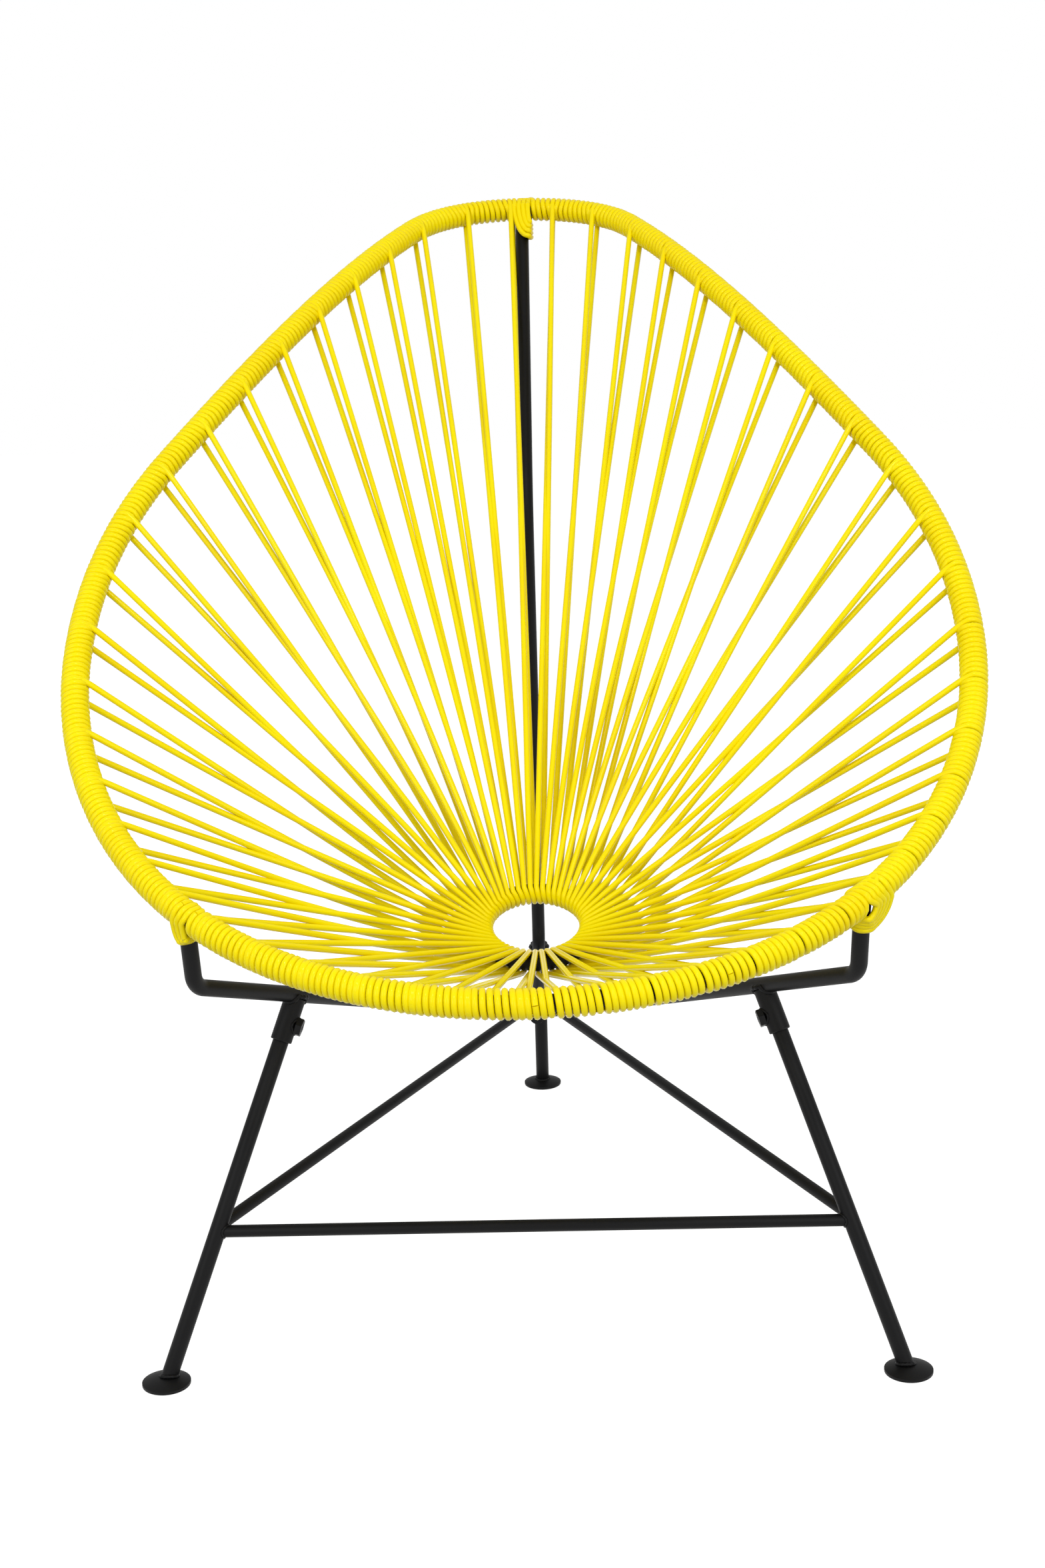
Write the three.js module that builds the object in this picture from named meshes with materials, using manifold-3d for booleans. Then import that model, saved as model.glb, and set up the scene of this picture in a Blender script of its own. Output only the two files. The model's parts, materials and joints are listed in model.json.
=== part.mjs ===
// A pear-shaped cord lounge chair on a three-legged base.
// A steel hoop is wound all round with vinyl cord. From the winding the cord is strung
// in long loops down to a small steel ring in the seat, round it and back up again.
// Two arms and a spine carry the hoop, and they drop over the legs with three sockets.
// Units are millimetres. +Z is up, +X is the sitter's left-right axis, +Y runs to the back.
// The origin is on the floor, in the middle of the chair.
import * as THREE from "three";
import { mergeVertices } from "three/addons/utils/BufferGeometryUtils.js";
import Module from "manifold-3d";

const wasm = await Module();
wasm.setup();

// Stock that the chair is made from
const tube_diameter = 12.7;
const rod_diameter = 9.5;
const wound_cord = 5;
const strung_cord = 4.1;
const clearance = 0.3;

// Hoop: its outline is drawn on the sloping seat surface, which bends only front to back
const hoop_half_width = 356;
const hoop_front_reach = 375;
const nose_radius = 120;
const hoop_depth = 844;
const hoop_front_height = 334;
const hoop_back_height = 871;
const taper_angle = THREE.MathUtils.degToRad(28.8);
const front_slope = THREE.MathUtils.degToRad(20);
const back_slope = THREE.MathUtils.degToRad(15);
const slope_handle_share = 0.39;

// Cord: loops on one half of the hoop, counted from the spine to the front. The strung
// pattern sits a little round to the right, as it was wound.
const side_loops = 19;
const front_loops = 7;
const even_loops = 12;
const side_bay_loops = [4, 3, 2, 2, 4, 4];
const front_bay_loops = [3, 4];
const side_gap = 61.5;
const back_pair_gap = 43.8;
const front_pair_gap = 26;
const pattern_shift = 9;
const last_loop_before_arm = 18;
const first_loop_after_arm = 22;
const first_gap_share = 0.75;
const front_gap_range_shares = [1.13, 0.87];
const rib_pitch = 47;
const nose_rib_pitch = 29;
const rib_depth = 1.7;
const winding_sides = 8;

// Ring in the seat, tipped up towards the back
const ring_offset = 5;
const ring_setback = -101;
const ring_height = 291;
const ring_tilt = THREE.MathUtils.degToRad(22.4);

// Arms: an upright under each front corner of the hoop, then a straight run to the middle
const upright_spacing = 243;
const upright_drop = 61;
const upright_lean = 19;
const arm_bend_radius = 20;
const joint_setback = 100;
const joint_height = 147;

// Spine: down behind the seat, then forward under it to the arms
const spine_knee_setback = 245;
const spine_knee_height = 600;
const spine_knee_radius = 110;
const spine_heel_setback = 290;
const spine_heel_height = 150;
const spine_heel_radius = 25;
const spine_tip_overrun = 16;

// Base
const foot_spacing = 282;
const front_foot_setback = -320;
const rear_foot_setback = 300;
const socket_spacing = 182;
const stretcher_height = 105;
const brace_front_height = 109;
const brace_rear_height = 91;
const brace_nose_radius = 14;

// Feet: low domed discs
const foot_radius = 18.5;
const foot_edge_height = 3.6;
const foot_dome_height = 6.6;
const foot_corner = 1;
const foot_crown_share = 0.6;

// Sockets: a sleeve under each carrying tube, with a nut and a set screw
const sleeve_wall = 1.8;
const front_sleeve = { rise: 3, drop: 38, screw_shift: 3 };
const rear_sleeve = { rise: -4, drop: 27, screw_shift: 3 };
const front_leg_gap = 15;
const rear_leg_gap = 2;
const nut_across_flats = 13;
const nut_thickness = 4;
const screw_diameter = 6;
const screw_length = 6;
const screw_key = 3;
const screw_key_depth = 3;

// Faceting
const bend_step = THREE.MathUtils.degToRad(10);
const tube_sides = 12;
const round_sides = 16;
const foot_sides = 24;
const hexagon = 6;
const cord_sides = 4;
const loop_turn_steps = 3;

const tube_radius = tube_diameter / 2;
const rod_radius = rod_diameter / 2;
const strung_radius = strung_cord / 2;
const winding_radius = tube_radius + wound_cord;
const loop_count = 2 * (side_loops + front_loops);

const finishes = {
  steel: () => new THREE.MeshStandardMaterial({ color: 0x1d1d1e, roughness: 0.55, metalness: 0.35 }),
  cord: () => new THREE.MeshStandardMaterial({ color: 0xf7df0a, roughness: 0.28, metalness: 0 }),
  zinc: () => new THREE.MeshStandardMaterial({ color: 0x2b2b2d, roughness: 0.4, metalness: 0.7 }),
};

const chair = new THREE.Group();

function add(name, geometry, finish) {
  const mesh = new THREE.Mesh(geometry, finishes[finish]());
  mesh.name = name;
  chair.add(mesh);
  return mesh;
}

const at = (x, y, z) => new THREE.Vector3(x, y, z);
const along = (from, towards, distance) => from.clone().addScaledVector(towards, distance);
const heading = (from, to) => to.clone().sub(from).normalize();

// Solids for joining and cutting
function solid(geometry) {
  const bare = geometry.clone();
  for (const name of Object.keys(bare.attributes)) if (name !== "position") bare.deleteAttribute(name);
  const merged = mergeVertices(bare);
  return new wasm.Manifold(
    new wasm.Mesh({
      numProp: 3,
      vertProperties: merged.attributes.position.array,
      triVerts: new Uint32Array(merged.index.array),
    }),
  );
}

function geometryOf(made) {
  const mesh = made.getMesh();
  const stride = mesh.numProp;
  const positions = new Float32Array(mesh.numVert * 3);
  for (let i = 0; i < mesh.numVert; i++) {
    positions.set(mesh.vertProperties.subarray(i * stride, i * stride + 3), i * 3);
  }
  const geometry = new THREE.BufferGeometry();
  geometry.setAttribute("position", new THREE.BufferAttribute(positions, 3));
  geometry.setIndex(new THREE.BufferAttribute(new Uint32Array(mesh.triVerts), 1));
  const faceted = geometry.toNonIndexed();
  faceted.computeVertexNormals();
  return faceted;
}

// What a cope leaves on the far side of the other tube is scrap, so the largest body stays
function cut(geometry, ...tools) {
  const left_over = tools.reduce((made, tool) => made.subtract(solid(tool)), solid(geometry)).decompose();
  left_over.sort((a, b) => b.volume() - a.volume());
  return geometryOf(left_over[0]);
}

// A section with its corners on the circle. To hold a round piece, its flats have to clear it.
function section(radius, sides) {
  const corners = [];
  for (let i = 0; i < sides; i++) {
    const angle = (2 * Math.PI * i) / sides;
    corners.push(new THREE.Vector2(radius * Math.cos(angle), radius * Math.sin(angle)));
  }
  return new THREE.Shape(corners);
}
const aroundCircle = (radius, sides) => radius / Math.cos(Math.PI / sides);
const coping_radius = aroundCircle(tube_radius + clearance, round_sides);
const around_hoop = tube_radius + clearance / Math.cos(Math.PI / winding_sides);

// A path known at chosen stations, each with its place and its heading
class Route extends THREE.Curve {
  constructor(stations) {
    super();
    this.stations = stations;
  }
  station(share) {
    return this.stations[Math.round(share * (this.stations.length - 1))];
  }
  getPointAt(share) {
    return this.station(share).place.clone();
  }
  getTangentAt(share) {
    return this.station(share).heading.clone();
  }
}

function sweep(stations, shape) {
  return new THREE.ExtrudeGeometry(shape, {
    steps: stations.length - 1,
    bevelEnabled: false,
    extrudePath: new Route(stations),
  });
}

// Stations of a tube that runs straight between corners and bends at each with its radius
function bentRoute(corners, radii) {
  const stations = [{ place: corners[0].clone(), heading: heading(corners[0], corners[1]) }];
  radii.forEach((radius, i) => {
    const corner = corners[i + 1];
    const inward = heading(corners[i], corner);
    const outward = heading(corner, corners[i + 2]);
    const turn = inward.angleTo(outward);
    const axis = inward.clone().cross(outward).normalize();
    const start = along(corner, inward, -radius * Math.tan(turn / 2));
    const spoke = axis.clone().cross(inward).multiplyScalar(-radius);
    const centre = start.clone().sub(spoke);
    const steps = Math.ceil(turn / bend_step);
    for (let step = 0; step <= steps; step++) {
      const angle = (turn * step) / steps;
      stations.push({
        place: spoke.clone().applyAxisAngle(axis, angle).add(centre),
        heading: inward.clone().applyAxisAngle(axis, angle),
      });
    }
  });
  const last = corners.length - 1;
  stations.push({ place: corners[last].clone(), heading: heading(corners[last - 1], corners[last]) });
  return stations;
}

// A straight round bar between two points
function bar(from, to, radius, sides = tube_sides) {
  const along_axis = heading(from, to);
  const ends = [from, to].map((place) => ({ place, heading: along_axis }));
  return sweep(ends, section(radius, sides));
}

// A skin over rings of points that closes on itself, as on a hoop or a hollow sleeve
function skin(rings) {
  const sides = rings[0].length;
  const points = rings.flat();
  const faces = [];
  for (let i = 0; i < rings.length; i++) {
    const next = (i + 1) % rings.length;
    for (let j = 0; j < sides; j++) {
      const k = (j + 1) % sides;
      const [a, b, c, d] = [i * sides + j, i * sides + k, next * sides + k, next * sides + j];
      faces.push([a, b, c], [a, c, d]);
    }
  }
  // The volume is negative where the rings run the other way round, as on the left half
  const cone = ([a, b, c]) => points[a].dot(points[b].clone().cross(points[c]));
  const volume = faces.reduce((sum, face) => sum + cone(face), 0);
  const outward = volume < 0 ? faces.map(([a, b, c]) => [a, c, b]) : faces;
  const geometry = new THREE.BufferGeometry();
  geometry.setAttribute("position", new THREE.Float32BufferAttribute(points.flatMap((p) => p.toArray()), 3));
  geometry.setIndex(outward.flat());
  return geometry;
}

// Hoop: side profile, outline on the developed seat surface, and the curve in space
const hoop_handle = slope_handle_share * hoop_depth;
const profile = new THREE.CubicBezierCurve(
  new THREE.Vector2(-hoop_depth / 2, hoop_front_height),
  new THREE.Vector2(
    -hoop_depth / 2 + hoop_handle * Math.cos(front_slope),
    hoop_front_height + hoop_handle * Math.sin(front_slope),
  ),
  new THREE.Vector2(
    hoop_depth / 2 - hoop_handle * Math.cos(back_slope),
    hoop_back_height - hoop_handle * Math.sin(back_slope),
  ),
  new THREE.Vector2(hoop_depth / 2, hoop_back_height),
);
profile.arcLengthDivisions = 600;
const slope_length = profile.getLength();

const nose_centre = slope_length - nose_radius;
const taper_start_width = nose_radius * Math.cos(taper_angle);
const taper_start = nose_centre + nose_radius * Math.sin(taper_angle);
const shoulder_corner = taper_start - (hoop_half_width - taper_start_width) / Math.tan(taper_angle);
const shoulder_length = shoulder_corner - hoop_front_reach;
const shoulder_end_width = hoop_half_width - shoulder_length * Math.sin(taper_angle);
const shoulder_end = shoulder_corner + shoulder_length * Math.cos(taper_angle);

const outline = new THREE.Path();
outline.absarc(0, nose_centre, nose_radius, Math.PI / 2, taper_angle, true);
outline.lineTo(shoulder_end_width, shoulder_end);
outline.quadraticCurveTo(hoop_half_width, shoulder_corner, hoop_half_width, hoop_front_reach);
outline.absellipse(0, hoop_front_reach, hoop_half_width, hoop_front_reach, 0, -Math.PI / 2, true);
outline.curves.forEach((curve) => (curve.arcLengthDivisions = 400));
const half_hoop = outline.getLength();

// One station on the hoop, at a distance from the spine along the left (-1) or right (+1) half
function hoopStation(distance, side) {
  const flat = outline.getPoint(distance / half_hoop);
  const share = THREE.MathUtils.clamp(flat.y / slope_length, 0, 1);
  const lift = profile.getPointAt(share);
  const rise = profile.getTangentAt(share);
  const drift = outline.getTangent(distance / half_hoop);
  const ahead = at(side * drift.x, drift.y * rise.x, drift.y * rise.y).normalize();
  const up = at(0, -rise.y, rise.x);
  const outward = up.clone().cross(ahead).multiplyScalar(side);
  return { place: at(side * flat.x, lift.x, lift.y), heading: ahead, lift: up, outward };
}

function hoopRing(station, radius) {
  const ring = [];
  for (let i = 0; i < winding_sides; i++) {
    const angle = (2 * Math.PI * (i + 0.5)) / winding_sides;
    const out = along(station.place, station.outward, radius * Math.cos(angle));
    ring.push(along(out, station.lift, radius * Math.sin(angle)));
  }
  return ring;
}

// Distance along the half hoop at which its width first reaches a given value from the front
function distanceAtWidth(width) {
  let [near, far] = [half_hoop / 2, half_hoop];
  while (far - near > clearance / 100) {
    const middle = (near + far) / 2;
    if (outline.getPoint(middle / half_hoop).x > width) near = middle;
    else far = middle;
  }
  return (near + far) / 2;
}
const arm_distance = distanceAtWidth(upright_spacing);

// Places of the cord loops on one half of the hoop. They are even down the side, close up
// step by step towards the arm, and close up again from the arm to the front.
function loopPlaces(side) {
  const shift = side * pattern_shift;
  const places = [back_pair_gap / 2 + shift];
  places.push(places[0] + side_gap * first_gap_share);
  while (places.length <= even_loops) places.push(places.at(-1) + side_gap);
  const closing_loops = side_loops - places.length;
  const closing_run = arm_distance - last_loop_before_arm - places.at(-1);
  const steps = (closing_loops * (closing_loops + 1)) / 2;
  const closing_step = (closing_loops * side_gap - closing_run) / steps;
  for (let i = 1; i <= closing_loops; i++) places.push(places.at(-1) + side_gap - i * closing_step);
  const front_start = arm_distance + first_loop_after_arm;
  const front_run = half_hoop - front_pair_gap / 2 - shift - front_start;
  const mean_gap = front_run / (front_loops - 1);
  const [wide_share, narrow_share] = front_gap_range_shares;
  let place = front_start;
  for (let i = 0; i < front_loops; i++) {
    places.push(place);
    place += mean_gap * THREE.MathUtils.lerp(wide_share, narrow_share, i / (front_loops - 2));
  }
  return places;
}

// Bays of the winding: where each starts and ends, which loops spring from it, and its ribs.
// The first bay holds the nose, which bends the most, so its ribs stand closer.
function bayList(places) {
  const list = [];
  const addBays = (first, counts, run_start, run_end) => {
    let low = first;
    let start = run_start;
    counts.forEach((count, b) => {
      const high = low + count;
      const end = b === counts.length - 1 ? run_end : (places[high - 1] + places[high]) / 2;
      const pitch = list.length === 0 ? nose_rib_pitch : rib_pitch;
      list.push({ low, high, start, end, ribs: Math.round((end - start) / pitch) });
      low = high;
      start = end;
    });
  };
  addBays(0, side_bay_loops, 0, arm_distance);
  addBays(side_loops, front_bay_loops, arm_distance, half_hoop);
  return list;
}
const ribPlace = (bay, index) => THREE.MathUtils.lerp(bay.start, bay.end, index / bay.ribs);

const sides = { left: -1, right: 1 };
const strings = {};
for (const [name, side] of Object.entries(sides)) {
  const places = loopPlaces(side);
  strings[name] = { side, places, bays: bayList(places) };
}

// The hoop has a station at each rib boundary, so the winding keeps an even gap round it
function hoopDistances(bays) {
  const distances = [];
  for (const bay of bays) {
    for (let i = 0; i < bay.ribs; i++) distances.push(ribPlace(bay, i));
  }
  return distances;
}
const right_run = hoopDistances(strings.right.bays);
const left_run = hoopDistances(strings.left.bays).slice(1).reverse();
const hoopSkin = (radius) =>
  skin([
    ...right_run.map((distance) => hoopRing(hoopStation(distance, 1), radius)),
    hoopRing(hoopStation(half_hoop, 1), radius),
    ...left_run.map((distance) => hoopRing(hoopStation(distance, -1), radius)),
  ]);
const hoop = hoopSkin(tube_radius);
const grown_hoop = hoopSkin(around_hoop);

// Ring in the seat
const ring_up = at(0, -Math.sin(ring_tilt), Math.cos(ring_tilt));
const ring_back = at(0, Math.cos(ring_tilt), Math.sin(ring_tilt));
const ring_middle = at(ring_offset, ring_setback, ring_height);
const hoop_seat_radius = tube_radius + clearance + strung_radius;
const loop_seat_radius = hoop_seat_radius / Math.cos(Math.PI / (2 * loop_turn_steps));
const packed_radius = (loop_count * (strung_cord + clearance)) / (2 * Math.PI);
const ring_radius = packed_radius + loop_seat_radius;

// One loop of strung cord: over the hoop, down to the ring, round its inner side and back
function loopStations(distance, order, side) {
  const hoop_at = hoopStation(distance, side);
  const angle = Math.PI / 2 - (Math.PI * (order + 0.5)) / (side_loops + front_loops);
  const spoke = at(side * Math.cos(angle), 0, 0).addScaledVector(ring_back, Math.sin(angle));
  const ring_heading = ring_up.clone().cross(spoke);
  const ring_at = along(ring_middle, spoke, ring_radius);
  const strand = (up) => {
    let run = heading(hoop_at.place, ring_at);
    let [top, end] = [null, null];
    for (let pass = 0; pass < 3; pass++) {
      const over_hoop = run.clone().cross(hoop_at.heading).normalize();
      const over_ring = run.clone().cross(ring_heading).normalize();
      if (over_hoop.dot(hoop_at.lift) * up < 0) over_hoop.negate();
      if (over_ring.dot(ring_up) * up < 0) over_ring.negate();
      top = along(hoop_at.place, over_hoop, hoop_seat_radius);
      end = over_ring;
      run = heading(top, along(ring_at, over_ring, loop_seat_radius));
    }
    return { top, end, run };
  };
  const [upper, lower] = [strand(1), strand(-1)];
  const turn_axis = upper.end.clone().cross(spoke.clone().negate()).normalize();
  const turn = 2 * Math.PI - upper.end.angleTo(lower.end);
  const swept = upper.end.clone().cross(lower.end).dot(turn_axis) < 0 ? turn : 2 * Math.PI - turn;
  const stations = [{ place: upper.top, heading: upper.run }];
  for (let step = 0; step <= loop_turn_steps; step++) {
    const arm = upper.end.clone().applyAxisAngle(turn_axis, (swept * step) / loop_turn_steps);
    stations.push({ place: along(ring_at, arm, loop_seat_radius), heading: turn_axis.clone().cross(arm) });
  }
  stations.push({ place: lower.top, heading: lower.run.clone().negate() });
  return stations;
}

// One bay of the winding: a sleeve with a bore for the hoop and a rib for each few turns
function windingBay(bay, side) {
  const [outer, inner] = [[], []];
  for (let i = 0; i <= bay.ribs; i++) {
    const trim = i === 0 ? clearance / 2 : i === bay.ribs ? -clearance / 2 : 0;
    const station = hoopStation(ribPlace(bay, i) + trim, side);
    outer.push(hoopRing(station, winding_radius - rib_depth));
    inner.push(hoopRing(station, around_hoop));
    if (i < bay.ribs) {
      const crest = hoopStation(ribPlace(bay, i + 0.5), side);
      outer.push(hoopRing(crest, winding_radius));
    }
  }
  return solid(skin([...outer, ...inner.reverse()]));
}

const strung_section = section(strung_radius, cord_sides);

// The sleeve and the loops that spring from it are one length of cord
function cordBay(bay, places, side, tools) {
  let made = windingBay(bay, side);
  for (const tool of tools) made = made.subtract(solid(tool));
  for (let k = bay.low; k < bay.high; k++) {
    made = made.add(solid(sweep(loopStations(places[k], k, side), strung_section)));
  }
  return geometryOf(made);
}

// Arms and their uprights
const arm_joint = at(0, joint_setback, joint_height);
const armCorners = (side) => {
  const top = hoopStation(arm_distance, side).place;
  const bend = at(side * upright_spacing, top.y + upright_lean, top.z - upright_drop);
  return [top, bend, arm_joint];
};
const armRoute = (side) => bentRoute(armCorners(side), [arm_bend_radius]);
const grownArm = (side) => sweep(armRoute(side), section(coping_radius, round_sides));
const tube_way = section(aroundCircle(tube_radius + clearance, hexagon), hexagon);

// Spine
const spine_corners = [
  hoopStation(0, 1).place,
  at(0, spine_knee_setback, spine_knee_height),
  at(0, spine_heel_setback, spine_heel_height),
  along(arm_joint, heading(at(0, spine_heel_setback, spine_heel_height), arm_joint), spine_tip_overrun),
];
const spine_route = bentRoute(spine_corners, [spine_knee_radius, spine_heel_radius]);
const grown_spine = sweep(spine_route, section(coping_radius, round_sides));

add("seat_hoop", hoop, "steel");
add("spine_tube", cut(sweep(spine_route, section(tube_radius, tube_sides)), grown_hoop), "steel");

// The arms meet at the tip of the spine, each trimmed at the middle of the chair
for (const [name, side] of Object.entries(sides)) {
  const arm = sweep(armRoute(side), section(tube_radius, tube_sides));
  const other_half = new THREE.BoxGeometry(hoop_depth, 2 * hoop_depth, 2 * hoop_depth);
  other_half.translate((-side * (hoop_depth - clearance)) / 2, 0, 0);
  add(`arm_tube_${name}`, cut(arm, grown_hoop, grown_spine, other_half), "steel");
}

const ring = new THREE.TorusGeometry(ring_radius, tube_radius, winding_sides, 2 * foot_sides);
const ring_mesh = add("seat_ring", ring, "steel");
ring_mesh.position.copy(ring_middle);
ring_mesh.rotation.x = ring_tilt;

// Cord, bay by bay, cut clear of the tubes that come up to the hoop inside it
for (const [name, { side, places, bays }] of Object.entries(strings)) {
  bays.forEach((bay, b) => {
    const tools = [];
    if (b === 0) tools.push(sweep(spine_route, tube_way));
    if (b === side_bay_loops.length - 1 || b === side_bay_loops.length) tools.push(sweep(armRoute(side), tube_way));
    add(`seat_cord_${name}_${b + 1}`, cordBay(bay, places, side, tools), "cord");
  });
}

// Feet: low domed discs with a flat underside
function footDisc(grow) {
  const radius = foot_radius + grow;
  const outline_points = [
    [0, 0],
    [radius - foot_corner, 0],
    [radius, foot_corner],
    [radius, foot_edge_height - foot_corner + grow],
    [radius - foot_corner, foot_edge_height + grow],
    [radius * foot_crown_share, foot_dome_height - foot_corner + grow],
    [0, foot_dome_height + grow],
  ];
  const lathe = new THREE.LatheGeometry(
    outline_points.map(([x, y]) => new THREE.Vector2(x, y)),
    foot_sides,
  );
  return lathe.rotateX(Math.PI / 2);
}

// Legs of the base. Each axis runs from the middle of its foot to the tube that it carries.
const [, left_bend] = armCorners(-1);
const [, right_bend] = armCorners(1);
const socket_share = 1 - socket_spacing / upright_spacing;
const legs = {
  front_left: {
    foot: at(-foot_spacing, front_foot_setback, 0),
    top: left_bend.clone().lerp(arm_joint, socket_share),
    inward: at(1, 0, 0),
    tube: grownArm(-1),
    gap: front_leg_gap,
    sleeve: front_sleeve,
  },
  front_right: {
    foot: at(foot_spacing, front_foot_setback, 0),
    top: right_bend.clone().lerp(arm_joint, socket_share),
    inward: at(-1, 0, 0),
    tube: grownArm(1),
    gap: front_leg_gap,
    sleeve: front_sleeve,
  },
  rear: {
    foot: at(0, rear_foot_setback, 0),
    top: at(0, spine_heel_setback, spine_heel_height),
    inward: at(0, 1, 0),
    tube: grown_spine,
    gap: rear_leg_gap,
    sleeve: rear_sleeve,
  },
};
for (const leg of Object.values(legs)) {
  leg.up = heading(leg.foot, leg.top);
  leg.out = leg.inward.clone().addScaledVector(leg.up, -leg.inward.dot(leg.up)).normalize();
}

// A point on a leg's axis, at a distance down from the tube that it carries
const below = (leg, drop) => along(leg.top, leg.up, -drop);
// The point on a leg's axis at a height over the floor
const atHeight = (leg, height) => along(leg.foot, leg.up, height / leg.up.z);
const grownLeg = (leg) => bar(leg.foot, leg.top, aroundCircle(tube_radius + clearance, tube_sides));

const sleeve_bore = tube_radius + clearance;
const sleeve_radius = sleeve_bore + sleeve_wall;
const screw_radius = screw_diameter / 2;
const screw_way = aroundCircle(screw_radius + clearance, tube_sides);
const nut_corner = aroundCircle(nut_across_flats / 2, hexagon);
const key_corner = aroundCircle(screw_key / 2, hexagon);

for (const [name, leg] of Object.entries(legs)) {
  const leg_start = along(leg.foot, leg.up, foot_edge_height);
  const grown_foot = footDisc(clearance).translate(leg.foot.x, leg.foot.y, 0);
  add(`leg_${name}`, cut(bar(leg_start, below(leg, leg.gap), tube_radius), grown_foot), "steel");

  const foot = add(`foot_${name}`, footDisc(0), "steel");
  foot.position.copy(leg.foot);

  // Socket: a sleeve over the leg's top, coped to the tube above it and drilled for its screw
  const drill_at = below(leg, (leg.sleeve.rise + leg.sleeve.drop) / 2 + leg.sleeve.screw_shift);
  const screw_tip = along(drill_at, leg.out, sleeve_bore);
  const screw_head = along(screw_tip, leg.out, screw_length);
  const [sleeve_top, sleeve_foot] = [below(leg, leg.sleeve.rise), below(leg, leg.sleeve.drop)];
  const sleeve_shell = bar(sleeve_top, sleeve_foot, sleeve_radius, round_sides);
  const sleeve_hollow = bar(
    below(leg, leg.sleeve.rise - tube_diameter),
    below(leg, leg.sleeve.drop + tube_diameter),
    aroundCircle(sleeve_bore, tube_sides),
  );
  const drilling = bar(drill_at, along(screw_head, leg.out, nut_thickness), screw_way);
  add(`socket_${name}`, cut(sleeve_shell, sleeve_hollow, leg.tube, drilling), "steel");

  // Nut on the side of the socket that faces into the chair
  const nut_seat = along(drill_at, leg.out, sleeve_radius + clearance);
  const nut_face = along(nut_seat, leg.out, nut_thickness);
  add(`nut_${name}`, cut(bar(nut_seat, nut_face, nut_corner, hexagon), drilling), "zinc");

  // Set screw: it bears on the leg, and its outer end has a hexagon recess
  const key_floor = along(screw_head, leg.out, -screw_key_depth);
  const key = bar(key_floor, along(screw_head, leg.out, screw_key_depth), key_corner, hexagon);
  add(`set_screw_${name}`, cut(bar(screw_tip, screw_head, screw_radius), key), "zinc");
}

// Stretcher between the front legs
const stretcher = bar(
  atHeight(legs.front_left, stretcher_height),
  atHeight(legs.front_right, stretcher_height),
  rod_radius,
);
const leg_ways = [grownLeg(legs.front_left), grownLeg(legs.front_right)];
add("front_stretcher", cut(stretcher, ...leg_ways), "steel");

// Brace: one rod, bent to a V, from the front legs to a rounded nose against the rear leg
const brace_left = atHeight(legs.front_left, brace_front_height);
const brace_right = atHeight(legs.front_right, brace_front_height);
const nose_front = atHeight(legs.rear, brace_rear_height);
nose_front.y -= tube_radius + clearance + rod_radius;
const half_angle = Math.atan2(brace_right.x, nose_front.y - brace_right.y);
const brace_corner = nose_front.clone();
brace_corner.y += brace_nose_radius * (1 / Math.sin(half_angle) - 1);
const brace_route = bentRoute([brace_left, brace_corner, brace_right], [brace_nose_radius]);
const grown_stretcher = bar(
  atHeight(legs.front_left, stretcher_height),
  atHeight(legs.front_right, stretcher_height),
  aroundCircle(rod_radius + clearance, tube_sides),
);
const brace_rod = sweep(brace_route, section(rod_radius, tube_sides));
add("rear_brace", cut(brace_rod, ...leg_ways, grown_stretcher), "steel");

export default chair;
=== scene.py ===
import json
import math

import bmesh
import bpy
from mathutils import Matrix, Vector

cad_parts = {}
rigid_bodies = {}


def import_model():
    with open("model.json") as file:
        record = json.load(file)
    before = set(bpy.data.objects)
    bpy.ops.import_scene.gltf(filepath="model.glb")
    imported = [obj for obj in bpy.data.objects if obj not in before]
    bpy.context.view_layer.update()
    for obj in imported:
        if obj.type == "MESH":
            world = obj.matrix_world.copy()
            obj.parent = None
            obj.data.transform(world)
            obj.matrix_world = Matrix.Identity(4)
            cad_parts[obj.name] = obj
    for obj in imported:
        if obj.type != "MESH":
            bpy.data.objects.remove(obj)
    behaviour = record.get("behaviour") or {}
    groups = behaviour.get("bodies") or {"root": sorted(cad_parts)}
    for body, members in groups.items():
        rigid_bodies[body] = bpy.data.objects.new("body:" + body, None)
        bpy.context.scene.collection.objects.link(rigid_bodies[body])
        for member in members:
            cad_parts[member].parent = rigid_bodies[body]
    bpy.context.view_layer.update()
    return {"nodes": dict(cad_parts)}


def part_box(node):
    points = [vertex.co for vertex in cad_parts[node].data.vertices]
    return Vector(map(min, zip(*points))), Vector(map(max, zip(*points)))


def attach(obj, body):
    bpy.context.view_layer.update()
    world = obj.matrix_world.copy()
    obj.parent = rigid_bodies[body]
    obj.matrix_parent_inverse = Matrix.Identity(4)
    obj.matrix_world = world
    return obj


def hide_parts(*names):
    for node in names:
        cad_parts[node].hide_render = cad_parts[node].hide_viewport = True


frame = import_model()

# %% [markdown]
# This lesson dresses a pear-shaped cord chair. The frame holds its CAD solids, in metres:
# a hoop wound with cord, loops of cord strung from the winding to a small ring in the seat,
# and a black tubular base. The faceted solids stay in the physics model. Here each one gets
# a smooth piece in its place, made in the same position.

MM = 0.001
nodes = frame["nodes"]
print(len(nodes), "CAD nodes to dress")

# %% [markdown]
# The stock is the same everywhere on the chair: half-inch tube, thinner rod for the braces,
# and one vinyl cord of five millimetres. Each size is written once, and every piece made
# from that stock reads it here.

# %% Stock
tube_radius = 6.35 * MM
rod_radius = 4.75 * MM
cord_radius = 2.5 * MM
print("tube, rod and cord radius in mm", tube_radius / MM, rod_radius / MM, cord_radius / MM)

# %% [markdown]
# The hoop is bent from one tube. Seen from the side it is an S-shaped curve, low at the
# front and high at the back, which one cubic curve can follow. The curve is sampled finely
# and then read by length, because cord lies along the hoop by length.

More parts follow.
